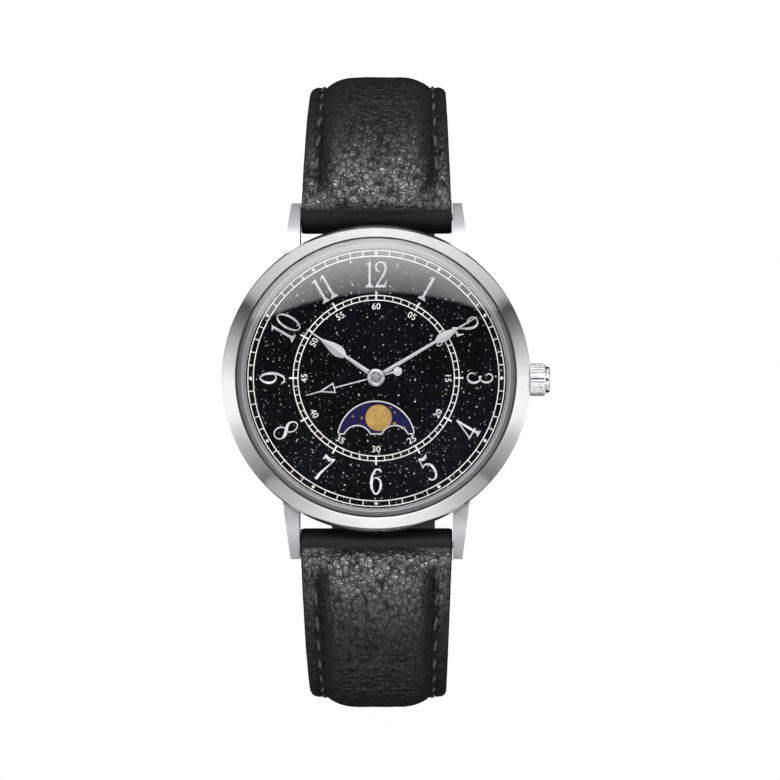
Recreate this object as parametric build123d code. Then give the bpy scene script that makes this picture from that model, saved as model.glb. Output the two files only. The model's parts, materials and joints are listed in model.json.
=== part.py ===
from build123d import *
import math
import os

# Moon phase wristwatch, quartz, on a padded leather strap.
# Frame: +X to the crown, +Y to twelve o'clock, +Z out through the dial.
# The origin is the middle of the case back's outer face. Sizes are in millimetres.

os.makedirs("parts", exist_ok=True)

# Case, built outward from the movement
case_inset = 0.85
case_wall = 1.85
back_thickness = 1.0
case_bottom_chamfer = 0.5
bezel_seat_width = 0.4
bezel_seat_height = 0.4
fit_gap = 0.05
cut_overrun = 1.0

# Heights inside the case, from the back to the dial
screw_head_height = 0.2
clamp_thickness = 0.15
battery_thickness = 2.15
battery_radius = 3.4
bridge_gap = 0.35
bridge_thickness = 0.5
train_height = 1.1
plate_thickness = 1.4
motion_height = 0.8
dial_thickness = 0.4
clamp_bottom = back_thickness + fit_gap + screw_head_height
battery_bottom = clamp_bottom + clamp_thickness + fit_gap
bridge_bottom = back_thickness + bridge_gap
bridge_top = bridge_bottom + bridge_thickness
plate_bottom = bridge_top + train_height
plate_top = plate_bottom + plate_thickness
dial_bottom = plate_top + motion_height
dial_top = dial_bottom + dial_thickness

# Bezel, crystal and the ring between dial and crystal
seat_above_dial = 0.1
case_top = dial_top + seat_above_dial
bezel_bottom = case_top - bezel_seat_height
bezel_side_height = 0.8
bezel_rise = 1.9
bezel_top = bezel_bottom + bezel_side_height + bezel_rise
bezel_bulge = 0.22
bezel_lip_width = 0.08
bezel_edge = 0.15
bezel_ring_width = 1.87
crystal_ledge = 0.08
gasket_width = 0.14
gasket_floor = 0.15
crystal_sink = 0.6
crystal_bottom = bezel_top - crystal_sink
crystal_edge_proud = 0.03
crystal_dome = 1.0
rehaut_width = 0.95
rehaut_top_width = 0.32
rehaut_foot_width = 0.2

# Lugs and the spring bars between them
lug_side_gap = 0.1
lug_bar_reach = 2.2
lug_bar_z = 2.3
lug_tip_reach = 1.7
lug_root_cover = 0.59
lug_root_width = 2.1
lug_tip_width = 1.1
lug_shoulder_length = 2.0
lug_shoulder_drop = 0.1
lug_bow_back = 0.7
lug_bow_z = 4.25
lug_nose_z = 2.35
lug_heel_z = 0.75
lug_heel_back = 0.55
bar_radius = 0.75
bar_tip_radius = 0.4
bar_tip_length = 0.7
bar_end_gap = 0.15
tip_gap = 0.05

# Case back
back_inset = 0.8
back_chamfer = 0.6
back_rim_height = 0.9
back_rim_width = 0.8
back_gasket_width = 0.3
back_gasket_height = 0.3
back_gasket_rise = 0.3
back_notch_width = 3.0
back_notch_depth = 0.5
back_notch_height = 0.35
back_band_width = 3.0
back_step_depth = 0.12

# Crown, its tube and the stem
stem_rise = 0.25
stem_z = plate_bottom + stem_rise
stem_radius = 0.45
crown_gap = 0.35
crown_radius = 1.935
crown_length = 2.35
crown_boss_radius = 1.55
crown_boss_length = 0.5
crown_bore_radius = 1.25
crown_bore_depth = 1.55
crown_flutes = 30
crown_flute_radius = 0.14
crown_edge = 0.2
crown_pull = 1.0
tube_radius = 0.95
tube_bore_radius = 0.6
tube_proud = 1.6
gasket_height = 0.32
gasket_inset = 0.03
stem_end_gap = 0.35
square_side = 0.6
square_start_x = 4.9
square_end_x = 8.3
stem_pivot_radius = 0.2
stem_pivot_length = 0.5
groove_x = 9.5
groove_width = 0.5
groove_core_radius = 0.25
channel_radius = 0.56

# Keyless work
clutch_radius = 1.0
clutch_x = 6.2
clutch_length = 1.2
clutch_teeth = 14
clutch_tooth_depth = 0.25
clutch_neck_radius = 0.7
square_gap = 0.03
clutch_pocket_gap = 0.2
lever_arm = 2.2
lever_pin_radius = 0.15
lever_eye_radius = 0.6
lever_thickness = 0.15
lever_pin_side = 0.483
lever_below_stem = 0.1
lever_nose_radius = 0.3
lever_post_radius = 0.3
lever_pocket_gap = 0.25

# Movement plates
holder_width = 2.6
dial_overhang = 0.05
holder_foot_gap = 0.05
pivot_radius = 0.12
pivot_depth = 0.25
pivot_gap = 0.02
pillar_radius = 0.5
bridge_lobe = 0.9
screw_head_radius = 0.42
screw_shank_radius = 0.22
screw_slot_width = 0.12
screw_slot_depth = 0.08
screw_bite = 0.5

# Train wheels, in modules and tooth counts
addendum_share = 0.8
dedendum_share = 1.25
tooth_root_share = 0.29
tooth_tip_share = 0.11
wheel_thickness = 0.14
level_pitch = 0.24
level_start = 0.12
rotor_pinion_teeth = 8
intermediate_teeth = 48
intermediate_pinion_teeth = 12
seconds_teeth = 60
fine_module = 0.08
seconds_pinion_teeth = 8
third_teeth = 60
third_module = 0.09
third_pinion_teeth = 8
centre_teeth = 64
centre_module = 0.085
arbor_radius = 0.2
seconds_arbor_radius = 0.12
centre_tube_bore = 0.17
centre_tube_radius = 0.3
centre_hole_gap = 0.05
third_direction = 215.0
intermediate_direction = 100.0
rotor_direction = 90.0
rotor_radius = 0.85
rotor_magnet_height = 0.5

# Motion work and moon drive, on the dial side
motion_thickness = 0.12
motion_pitch = 0.18
motion_start = 0.06
motion_module = 0.1
cannon_teeth = 12
minute_wheel_teeth = 36
minute_pinion_teeth = 10
hour_wheel_teeth = 40
hour_module = 0.096
moon_pinion_teeth = 16
moon_drive_teeth = 32
moon_module = 0.12
setting_teeth = 20
post_radius = 0.18
running_gap = 0.02
minute_wheel_direction = -35.0
moon_drive_direction = 210.0
cannon_bore = 0.33
cannon_radius = 0.45
hour_tube_bore = 0.5
hour_tube_radius = 0.68
finger_length = 1.8
finger_width = 0.3
finger_hub_radius = 0.4
pocket_gap = 0.2

# Moon disc and its window
moon_centre_y = -7.26
moon_disc_radius = 4.75
moon_disc_thickness = 0.14
moon_disc_teeth = 59
moon_tooth_depth = 0.22
moon_disc_drop = 0.08
moon_post_radius = 0.3
moon_boss_radius = 0.9
window_radius = 4.45
window_sill = 0.76
hump_radius = 1.75
hump_spread = 2.2
window_tip_round = 0.16
rim_width = 0.14
rim_height = 0.14
jumper_thickness = 0.2
jumper_eye_radius = 0.5
jumper_tip_radius = 0.16
jumper_length = 3.95
jumper_eye_angle = 155.1
jumper_tip_angle = 172.0

# Dial, hands and numerals
dial_hole_radius = 0.9
hand_thickness = 0.15
hand_hub_height = 0.14
hour_hand_lift = 0.4
minute_hand_lift = 0.8
seconds_hand_lift = 1.2
hand_time_hour_angle = 305.0
hand_time_minute_angle = 59.0
hand_time_second_angle = 255.4
hour_hub_radius = 1.02
hour_stem_end = 4.4
hour_leaf_peak = 5.4
hour_leaf_waist = 7.0
hour_leaf_end = 8.5
hour_hand_length = 9.96
hour_root_half = 0.3
hour_neck_half = 0.17
hour_peak_half = 0.67
hour_waist_half = 0.36
hour_point_half = 0.11
hour_tip_half = 0.04
minute_hub_radius = 0.85
minute_stem_end = 8.2
minute_leaf_peak = 9.15
minute_leaf_waist = 10.4
minute_leaf_end = 11.7
minute_hand_length = 13.86
minute_root_half = 0.25
minute_neck_half = 0.15
minute_peak_half = 0.57
minute_waist_half = 0.32
minute_point_half = 0.1
minute_tip_half = 0.035
seconds_hub_radius = 0.5
seconds_shaft_half = 0.07
seconds_arrow_start = 5.0
seconds_arrow_end = 6.98
seconds_arrow_half = 0.65
seconds_arrow_line = 0.15
seconds_hand_length = 8.5
seconds_tip_half = 0.035
seconds_tail = 2.63
seconds_tail_radius = 0.515
numeral_ring_radius = 12.2
numeral_height = 3.1
numeral_thickness = 0.2
numeral_gap = 0.12
first_low_hour = 4
last_low_hour = 8

# Quartz electronics
battery_direction = 245.0
battery_clear = 0.17
battery_rim = 0.28
battery_step_radius = 2.6
battery_step_height = 0.35
battery_recess_gap = 0.1
clamp_width = 1.6
clamp_length = 7.3
clamp_direction = -16.7
coil_y = 8.6
coil_x = -0.5
coil_length = 6.4
coil_radius = 0.95
core_length = 9.4
core_width = 1.0
core_thickness = 0.4
core_end_inset = 0.6
stator_thickness = 0.4
stator_ring_radius = 1.5
stator_arm_radius = 0.7
stator_bore_gap = 0.15
coil_recess_gap = 0.1
board_thickness = 0.2
board_width = 5.3
board_clear = 0.42
board_low_y = -3.0
board_high_y = 5.0
board_gap = 0.3
chip_side = 1.8
chip_height = 0.4
chip_y = -1.4
can_radius = 0.5
can_length = 4.4
can_inset = 1.5
can_y = 2.3
pad_radius = 0.6
board_pad_inset = 3.9
board_pad_low_y = -2.0
board_pad_high_y = 4.0

# Strap: both halves are bands along one path, bent as the photograph shows
strap_width = 18.0
strap_hem_radius = 2.0
hem_clear = 0.5
strap_bend = 16.2
strap_low_bend = 12.0
buckle_half_length = 75.0
end_bar_run = 2.0035
tail_extra_length = 30.0
lining_inside = -0.4
leather_inside = 1.0
leather_outside = 2.0
pad_crown = 1.3
pad_wall = 0.7
pad_inset = 1.85
pad_start = 0.5
pad_rise = 1.5
pad_full_end = 27.0
pad_fade_end = 36.0
pad_overlap = 0.5
pad_edge_round = 1.15
pad_corner_round = 1.6
bend_taper = 1.5
buckle_taper = 4.0
taper_end_rise = 12.0
bar_hole_gap = 0.1
tail_tip_round = 5.0
strap_holes = 7
strap_hole_pitch = 6.5
strap_hole_first = 24.0
strap_hole_radius = 0.8

# Buckle and keepers
end_hem_radius = 1.2
end_bar_radius = 0.6
end_bar_offset = 0.8
tongue_slot_half = 1.35
tongue_slot_back = 2.6
frame_thickness = 1.8
frame_side_gap = 0.2
frame_arm_width = 1.7
frame_far_length = 11.0
frame_far_bar = 1.8
frame_ear_radius = 0.9
frame_corner_round = 2.6
frame_inner_round = 0.8
tongue_half_width = 0.8
tongue_thickness = 0.8
tongue_eye_radius = 1.0
tongue_reach = 0.5
tongue_eye_gap = 0.05
notch_gap = 0.12
keeper_length = 4.2
keeper_wall = 0.9
keeper_inside_gap = 0.3
keeper_tail_room = 2.6
keeper_side_gap = 0.25
keeper_round = 0.4
fixed_keeper_angle = 40.0
floating_keeper_rise = 4.2


def polar(radius, degrees, x=0.0, y=0.0):
    angle = math.radians(degrees)
    return (x + radius * math.cos(angle), y + radius * math.sin(angle))


def pitch_radius(teeth, module):
    return teeth * module / 2


# Gear centres, from the sizes of the wheels that mesh
centre = (0.0, 0.0)
third_distance = pitch_radius(third_teeth + seconds_pinion_teeth, third_module)
third_place = polar(third_distance, third_direction)
third_reach = pitch_radius(third_teeth, third_module) + addendum_share * third_module
intermediate_distance = pitch_radius(seconds_teeth + intermediate_pinion_teeth, fine_module)
intermediate_place = polar(intermediate_distance, intermediate_direction)
rotor_distance = pitch_radius(intermediate_teeth + rotor_pinion_teeth, fine_module)
rotor_place = polar(rotor_distance, rotor_direction, *intermediate_place)
minute_distance = pitch_radius(cannon_teeth + minute_wheel_teeth, motion_module)
minute_place = polar(minute_distance, minute_wheel_direction)
moon_drive_distance = pitch_radius(moon_pinion_teeth + moon_drive_teeth, moon_module)
moon_drive_place = polar(moon_drive_distance, moon_drive_direction)
setting_distance = pitch_radius(minute_wheel_teeth + setting_teeth, motion_module)
setting_place = polar(setting_distance, 0.0, *minute_place)
moon_place = (0.0, moon_centre_y)
moon_top = dial_bottom - moon_disc_drop
moon_bottom = moon_top - moon_disc_thickness

# The battery beside the third wheel sets the movement's radius,
# and the case is built round the movement
battery_distance = third_reach + battery_clear + battery_radius
battery_x, battery_y = polar(battery_distance, battery_direction, *third_place)
clamp_screw_x, clamp_screw_y = polar(clamp_length, clamp_direction, battery_x, battery_y)
movement_radius = math.hypot(battery_x, battery_y) + battery_radius + battery_rim
holder_radius = movement_radius + fit_gap + holder_width
dial_radius = holder_radius + dial_overhang
bore_radius = dial_radius + fit_gap
case_radius = bore_radius + case_wall
bezel_radius = case_radius + case_inset
bezel_seat_radius = case_radius - bezel_seat_width
crystal_radius = bezel_radius - bezel_ring_width
gasket_radius = crystal_radius + gasket_width
bezel_bore_radius = crystal_radius - crystal_ledge
rehaut_radius = bezel_bore_radius - fit_gap
rehaut_inner_radius = rehaut_radius - rehaut_width
back_flange_radius = case_radius - back_inset
back_step_radius = back_flange_radius - back_band_width
crown_face_x = case_radius + crown_gap

# The strap's width sets the gap between the lugs
lug_gap = strap_width + 2 * lug_side_gap
lug_bar_y = case_radius + lug_bar_reach
lug_tip_y = lug_bar_y + lug_tip_reach
lug_root_y = math.sqrt(bore_radius**2 - (lug_gap / 2) ** 2) + lug_root_cover
lug_shoulder_y = lug_root_y + lug_shoulder_length
lug_bow_y = lug_bar_y - lug_bow_back
case_flat_y = lug_bar_y - strap_hem_radius - hem_clear
bend_width = strap_width - bend_taper
buckle_width = strap_width - buckle_taper

# The circuit board beside the third wheel, and the jumper beside the moon disc
board_right_x = third_place[0] - third_reach - board_clear
board_left_x = board_right_x - board_width
board_pad_x = board_right_x - board_pad_inset
can_x = board_right_x - can_inset
jumper_eye_x, jumper_eye_y = polar(
    moon_disc_radius + jumper_length, jumper_eye_angle, *moon_place
)


def disc(radius, low, high, x=0.0, y=0.0):
    body = Cylinder(radius, high - low, align=(Align.CENTER, Align.CENTER, Align.MIN))
    return Pos(x, y, low) * body


def ring(radius, bore, low, high, x=0.0, y=0.0):
    return disc(radius, low, high, x, y) - disc(bore, low, high, x, y)


def block(x0, x1, y0, y1, z0, z1):
    body = Box(x1 - x0, y1 - y0, z1 - z0, align=(Align.MIN, Align.MIN, Align.MIN))
    return Pos(x0, y0, z0) * body


def rod(radius, x0, x1, y=0.0, z=0.0):
    """A round bar along X."""
    body = Cylinder(radius, x1 - x0, align=(Align.CENTER, Align.CENTER, Align.MIN))
    return Pos(x0, y, z) * Rot(0, 90, 0) * body


def outline(points):
    """A flat face from corner points in the XY plane."""
    return make_face(Polyline(*points, close=True))


def prism(points, low, high):
    return Pos(0, 0, low) * extrude(outline(points), high - low)


def turned(edges):
    """A body turned about Z from edges drawn in the XZ plane."""
    return revolve(make_face(edges), Axis.Z, 360)


def turned_outline(points):
    return turned(Polyline(*[(r, 0, z) for r, z in points], close=True).edges())


def hull(circles, low, high):
    """A plate around circles given as (x, y, radius)."""
    rims = [(Pos(x, y) * Circle(radius)).edge() for x, y, radius in circles]
    return Pos(0, 0, low) * extrude(make_hull(rims), high - low)


def write(name, shape):
    export_step(shape, f"parts/{name}.step")


# Case and bezel


def lug_outline():
    """Side view of one lug in the YZ plane."""
    shoulder = (0, lug_shoulder_y, bezel_bottom - lug_shoulder_drop)
    nose = (0, lug_tip_y, lug_nose_z)
    heel = (0, lug_tip_y - lug_heel_back, lug_heel_z)
    middle_z = (lug_nose_z + lug_heel_z) / 2
    edges = [
        Line((0, lug_root_y, bezel_bottom - lug_shoulder_drop), shoulder),
        ThreePointArc(shoulder, (0, lug_bow_y, lug_bow_z), nose),
        ThreePointArc(nose, (0, lug_tip_y - lug_heel_back / 5, middle_z), heel),
        Line(heel, (0, lug_shoulder_y, back_thickness)),
        Line((0, lug_shoulder_y, back_thickness), (0, lug_root_y, back_thickness)),
        Line((0, lug_root_y, back_thickness), (0, lug_root_y, bezel_bottom - lug_shoulder_drop)),
    ]
    return make_face(edges)


def lug():
    """The lug at the crown side of twelve o'clock."""
    inner = lug_gap / 2
    side = extrude(lug_outline(), inner + lug_root_width + cut_overrun, dir=(1, 0, 0))
    plan = [
        (inner, lug_root_y - cut_overrun),
        (inner + lug_root_width, lug_root_y - cut_overrun),
        (inner + lug_root_width, lug_root_y),
        (inner + lug_tip_width, lug_tip_y),
        (inner + lug_tip_width, lug_tip_y + cut_overrun),
        (inner, lug_tip_y + cut_overrun),
    ]
    return side & prism(plan, 0, bezel_top)


def make_case_body():
    wall = turned_outline(
        [
            (bore_radius, back_thickness),
            (case_radius - case_bottom_chamfer, back_thickness),
            (case_radius, back_thickness + case_bottom_chamfer),
            (case_radius, bezel_bottom),
            (bezel_seat_radius, bezel_bottom),
            (bezel_seat_radius, case_top),
            (bore_radius, case_top),
        ]
    )
    body = wall
    half_gap = lug_gap / 2
    for sign in (1, -1):
        flat = block(
            -half_gap, half_gap, case_flat_y, case_radius + cut_overrun, 0, bezel_bottom
        )
        body -= flat if sign > 0 else mirror(flat, Plane.XZ)
    one = lug()
    for sign in (1, -1):
        side = one if sign > 0 else mirror(one, Plane.YZ)
        body += side
        body += mirror(side, Plane.XZ)
    hole_end = half_gap + bar_tip_length + tip_gap
    for sign in (1, -1):
        body -= rod(
            bar_tip_radius + tip_gap, -hole_end, hole_end, sign * lug_bar_y, lug_bar_z
        )
    body -= rod(tube_radius, bore_radius - cut_overrun, case_radius + cut_overrun, 0, stem_z)
    return body


def make_bezel():
    side_top = bezel_bottom + bezel_side_height
    lip = gasket_radius + bezel_lip_width
    middle_r = (bezel_radius + lip) / 2 + bezel_bulge
    middle_z = (side_top + bezel_top) / 2 + bezel_bulge
    seat_z = crystal_bottom - gasket_floor
    corners = [
        (bezel_radius - bezel_edge, bezel_bottom),
        (bezel_radius, bezel_bottom + bezel_edge),
        (bezel_radius, side_top),
    ]
    inside = [
        (lip, bezel_top),
        (gasket_radius, bezel_top - bezel_lip_width),
        (gasket_radius, seat_z),
        (bezel_bore_radius, seat_z),
        (bezel_bore_radius, case_top),
        (bezel_seat_radius, case_top),
        (bezel_seat_radius, bezel_bottom),
        (bezel_radius - bezel_edge, bezel_bottom),
    ]
    edges = [
        Polyline(*[(r, 0, z) for r, z in corners]),
        ThreePointArc(
            (bezel_radius, 0, side_top), (middle_r, 0, middle_z), (lip, 0, bezel_top)
        ),
        Polyline(*[(r, 0, z) for r, z in inside]),
    ]
    return turned(edges)


def make_crystal():
    edge_top = bezel_top + crystal_edge_proud
    crown_z = edge_top + crystal_dome
    chord = crystal_radius
    sphere = (chord**2 + crystal_dome**2) / (2 * crystal_dome)
    half_r = chord / 2
    half_z = crown_z - sphere + math.sqrt(sphere**2 - half_r**2)
    edges = [
        Line((0, 0, crystal_bottom), (crystal_radius, 0, crystal_bottom)),
        Line((crystal_radius, 0, crystal_bottom), (crystal_radius, 0, edge_top)),
        ThreePointArc((crystal_radius, 0, edge_top), (half_r, 0, half_z), (0, 0, crown_z)),
        Line((0, 0, crown_z), (0, 0, crystal_bottom)),
    ]
    return turned(edges)


def make_crystal_gasket():
    inner = rehaut_radius - rehaut_top_width
    return turned_outline(
        [
            (inner, crystal_bottom - gasket_floor),
            (gasket_radius, crystal_bottom - gasket_floor),
            (gasket_radius, bezel_top - bezel_lip_width),
            (crystal_radius, bezel_top - bezel_lip_width),
            (crystal_radius, crystal_bottom),
            (inner, crystal_bottom),
        ]
    )


def make_rehaut_ring():
    top = crystal_bottom - gasket_floor
    step = case_top + fit_gap / 2
    return turned_outline(
        [
            (rehaut_inner_radius, dial_top),
            (rehaut_inner_radius + rehaut_foot_width, dial_top),
            (rehaut_inner_radius + rehaut_foot_width, step),
            (rehaut_radius, step),
            (rehaut_radius, top),
            (rehaut_radius - rehaut_top_width, top),
        ]
    )


def make_case_back():
    rim_radius = bore_radius - fit_gap
    body = turned_outline(
        [
            (0, 0),
            (back_step_radius, 0),
            (back_step_radius + back_step_depth, back_step_depth),
            (back_flange_radius - back_chamfer, back_step_depth),
            (back_flange_radius, back_thickness - back_step_depth),
            (back_flange_radius, back_thickness),
            (0, back_thickness),
        ]
    )
    body += ring(
        rim_radius,
        rim_radius - back_rim_width,
        back_thickness,
        back_thickness + back_rim_height,
    )
    low = back_thickness + back_gasket_rise
    body -= ring(
        bore_radius, bore_radius - back_gasket_width, low, low + back_gasket_height
    )
    half = back_notch_width / 2
    body -= block(
        -half,
        half,
        -back_flange_radius - cut_overrun,
        -back_flange_radius + back_notch_depth,
        back_thickness - back_notch_height,
        back_thickness,
    )
    return body


def make_case_back_gasket():
    low = back_thickness + back_gasket_rise
    return ring(bore_radius, bore_radius - back_gasket_width, low, low + back_gasket_height)


# Crown and stem


def make_crown_tube():
    start = bore_radius + fit_gap
    end = case_radius + tube_proud
    tube = rod(tube_radius, start, end, 0, stem_z)
    return tube - rod(tube_bore_radius, start, end, 0, stem_z)


def make_crown():
    end = crown_face_x + crown_length
    body = rod(crown_radius, crown_face_x, end, 0, stem_z)
    rims = body.edges().filter_by(GeomType.CIRCLE)
    body = chamfer(rims, crown_edge)
    groove = rod(
        crown_flute_radius, crown_face_x - cut_overrun, end + cut_overrun, 0, 0
    )
    grooves = []
    for index in range(crown_flutes):
        y, z = polar(crown_radius, 360 * index / crown_flutes)
        grooves.append(Pos(0, y, stem_z + z) * groove)
    body -= grooves
    body += rod(crown_boss_radius, end, end + crown_boss_length, 0, stem_z)
    face = body.faces().sort_by(Axis.X)[-1]
    body = fillet(face.edges(), crown_edge)
    body -= rod(
        crown_bore_radius, crown_face_x, crown_face_x + crown_bore_depth, 0, stem_z
    )
    body -= rod(stem_radius, crown_face_x, end - stem_end_gap, 0, stem_z)
    return body


def make_crown_gasket():
    start = crown_face_x + gasket_inset
    end = start + gasket_height
    outer = rod(crown_bore_radius, start, end, 0, stem_z)
    return outer - rod(tube_radius + running_gap, start, end, 0, stem_z)


def make_stem():
    end = crown_face_x + crown_length - stem_end_gap
    body = rod(stem_radius, square_end_x, end, 0, stem_z)
    body -= rod(
        stem_radius, groove_x - groove_width / 2, groove_x + groove_width / 2, 0, stem_z
    )
    body += rod(
        groove_core_radius,
        groove_x - groove_width / 2,
        groove_x + groove_width / 2,
        0,
        stem_z,
    )
    half = square_side / 2
    body += block(square_start_x, square_end_x, -half, half, stem_z - half, stem_z + half)
    body += rod(
        stem_pivot_radius, square_start_x - stem_pivot_length, square_start_x, 0, stem_z
    )
    return body


def make_clutch_wheel():
    """The sliding pinion on the stem's square, toothed at the end near the centre."""
    points = []
    for index in range(clutch_teeth):
        for share, radius in (
            (0.0, clutch_radius - clutch_tooth_depth),
            (0.3, clutch_radius),
            (0.55, clutch_radius),
        ):
            angle = 360 * (index + share) / clutch_teeth
            points.append(polar(radius, angle))
    toothed = extrude(outline(points), clutch_length / 2)
    toothed = Pos(clutch_x, 0, stem_z) * Rot(0, 90, 0) * toothed
    middle = clutch_x + clutch_length / 2
    body = toothed + rod(clutch_neck_radius, middle, clutch_x + clutch_length, 0, stem_z)
    half = square_side / 2 + square_gap
    end = clutch_x + clutch_length
    body -= block(
        clutch_x - cut_overrun,
        end + cut_overrun,
        -half,
        half,
        stem_z - half,
        stem_z + half,
    )
    return body


lever_pivot_x = groove_x + crown_pull / 2
lever_pivot_y = lever_pin_side + math.sqrt(lever_arm**2 - (crown_pull / 2) ** 2)
lever_top = stem_z - stem_radius - lever_below_stem
lever_bottom = lever_top - lever_thickness


def make_setting_lever():
    body = hull(
        [
            (lever_pivot_x, lever_pivot_y, lever_eye_radius),
            (groove_x, lever_pin_side, lever_nose_radius),
        ],
        lever_bottom,
        lever_top,
    )
    body += disc(lever_pin_radius, lever_top, stem_z, groove_x, lever_pin_side)
    body -= disc(
        lever_post_radius + running_gap,
        lever_bottom,
        lever_top,
        lever_pivot_x,
        lever_pivot_y,
    )
    return body


# Gears


def gear(teeth, module, low, high, centre, turn):
    """A toothed disc with straight flanks; turn is the angle of its first tooth."""
    radius = pitch_radius(teeth, module)
    root = radius - dedendum_share * module
    tip = radius + addendum_share * module
    step = 360 / teeth
    points = []
    for index in range(teeth):
        middle = turn + index * step
        for share, at in (
            (-tooth_root_share, root),
            (-tooth_tip_share, tip),
            (tooth_tip_share, tip),
            (tooth_root_share, root),
        ):
            points.append(polar(at, middle + share * step))
    return Pos(centre[0], centre[1], low) * extrude(outline(points), high - low)


def mate_turn(turn, teeth, mate_teeth, direction):
    """The first tooth angle of a mating gear that lies at this direction."""
    ahead = (direction - turn) * teeth / 360
    return direction + 180 + (ahead + 0.5) * 360 / mate_teeth


def train_level(index):
    low = bridge_top + level_start + index * level_pitch
    return low, low + wheel_thickness


def motion_level(index):
    low = plate_top + motion_start + index * motion_pitch
    return low, low + motion_thickness


intermediate_turn = mate_turn(
    0.0, seconds_teeth, intermediate_pinion_teeth, intermediate_direction
)
rotor_turn = mate_turn(0.0, intermediate_teeth, rotor_pinion_teeth, rotor_direction)
third_turn = mate_turn(0.0, seconds_pinion_teeth, third_teeth, third_direction)
centre_turn = mate_turn(0.0, third_pinion_teeth, centre_teeth, third_direction + 180)
minute_turn = mate_turn(0.0, cannon_teeth, minute_wheel_teeth, minute_wheel_direction)
hour_turn = mate_turn(0.0, minute_pinion_teeth, hour_wheel_teeth, minute_wheel_direction + 180)
moon_drive_turn = mate_turn(0.0, moon_pinion_teeth, moon_drive_teeth, moon_drive_direction)
setting_turn = mate_turn(minute_turn, minute_wheel_teeth, setting_teeth, 0.0)


def arbor(place, radius=arbor_radius):
    """A wheel's shaft with a thin pivot at each end, between bridge and plate."""
    body = disc(radius, bridge_top + fit_gap, plate_bottom - fit_gap, *place)
    low = bridge_top - pivot_depth
    return body + disc(pivot_radius, low, plate_bottom + pivot_depth, *place)


def make_rotor():
    low, high = train_level(0)
    body = arbor(rotor_place)
    body += gear(rotor_pinion_teeth, fine_module, low, high, rotor_place, rotor_turn)
    magnet_low = train_level(1)[0]
    return body + disc(rotor_radius, magnet_low, magnet_low + rotor_magnet_height, *rotor_place)


def make_intermediate_wheel():
    low, high = train_level(0)
    body = arbor(intermediate_place)
    body += gear(intermediate_teeth, fine_module, low, high, intermediate_place, 0.0)
    low, high = train_level(1)
    body += gear(
        intermediate_pinion_teeth,
        fine_module,
        low,
        high,
        intermediate_place,
        intermediate_turn,
    )
    return body


seconds_tube_top = dial_top + seconds_hand_lift + hand_thickness + hand_hub_height


def make_seconds_wheel():
    body = disc(seconds_arbor_radius, bridge_top - pivot_depth, seconds_tube_top)
    low, high = train_level(1)
    body += gear(seconds_teeth, fine_module, low, high, centre, 0.0)
    low, high = train_level(2)
    body += gear(seconds_pinion_teeth, third_module, low, high, centre, 0.0)
    return body


def make_third_wheel():
    low, high = train_level(2)
    body = arbor(third_place)
    body += gear(third_teeth, third_module, low, high, third_place, third_turn)
    low, high = train_level(3)
    body += gear(third_pinion_teeth, centre_module, low, high, third_place, 0.0)
    return body


centre_tube_top = dial_top + hour_hand_lift


def make_centre_wheel():
    low, high = train_level(3)
    body = gear(centre_teeth, centre_module, low, high, centre, centre_turn)
    body += disc(centre_tube_radius, low, centre_tube_top)
    return body - disc(centre_tube_bore, low, centre_tube_top)


minute_hand_bottom = dial_top + minute_hand_lift
cannon_top = minute_hand_bottom + hand_thickness + fit_gap


def make_cannon_pinion():
    low, high = motion_level(0)
    start = plate_top + running_gap
    body = gear(cannon_teeth, motion_module, low, high, centre, 0.0)
    body += disc(cannon_radius, start, cannon_top)
    return body - disc(cannon_bore, start, cannon_top)


def make_minute_wheel():
    low, high = motion_level(0)
    body = gear(minute_wheel_teeth, motion_module, low, high, minute_place, minute_turn)
    top = motion_level(1)[1]
    body += gear(minute_pinion_teeth, hour_module, high, top, minute_place, 0.0)
    return body - disc(post_radius + running_gap, low, top, *minute_place)


hour_hand_bottom = dial_top + hour_hand_lift
hour_tube_top = hour_hand_bottom + hand_thickness + fit_gap


def make_hour_wheel():
    low, high = motion_level(1)
    body = gear(hour_wheel_teeth, hour_module, low, high, centre, hour_turn)
    top = motion_level(2)[1]
    body += gear(moon_pinion_teeth, moon_module, high, top, centre, 0.0)
    body += disc(hour_tube_radius, low, hour_tube_top)
    return body - disc(hour_tube_bore, low, hour_tube_top)


def make_moon_drive_wheel():
    low, high = motion_level(2)
    body = gear(moon_drive_teeth, moon_module, low, high, moon_drive_place, moon_drive_turn)
    body += disc(finger_hub_radius, low, moon_top, *moon_drive_place)
    away = (moon_drive_place[0] - moon_place[0], moon_drive_place[1] - moon_place[1])
    direction = math.degrees(math.atan2(away[1], away[0]))
    tip = polar(finger_length - finger_width / 2, direction, *moon_drive_place)
    body += hull(
        [(*moon_drive_place, finger_width / 2), (*tip, finger_width / 2)],
        moon_bottom,
        moon_top,
    )
    return body - disc(post_radius + running_gap, low, moon_top, *moon_drive_place)


def make_setting_wheel():
    low, high = motion_level(0)
    body = gear(setting_teeth, motion_module, low, high, setting_place, setting_turn)
    return body - disc(post_radius + running_gap, low, high, *setting_place)


def make_moon_disc():
    root = moon_disc_radius - moon_tooth_depth
    step = 360 / moon_disc_teeth
    points = []
    for index in range(moon_disc_teeth):
        points.append(polar(root, index * step, *moon_place))
        points.append(polar(moon_disc_radius, (index + 0.5) * step, *moon_place))
    body = prism(points, moon_bottom, moon_top)
    return body - disc(moon_post_radius + running_gap, moon_bottom, moon_top, *moon_place)


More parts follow.
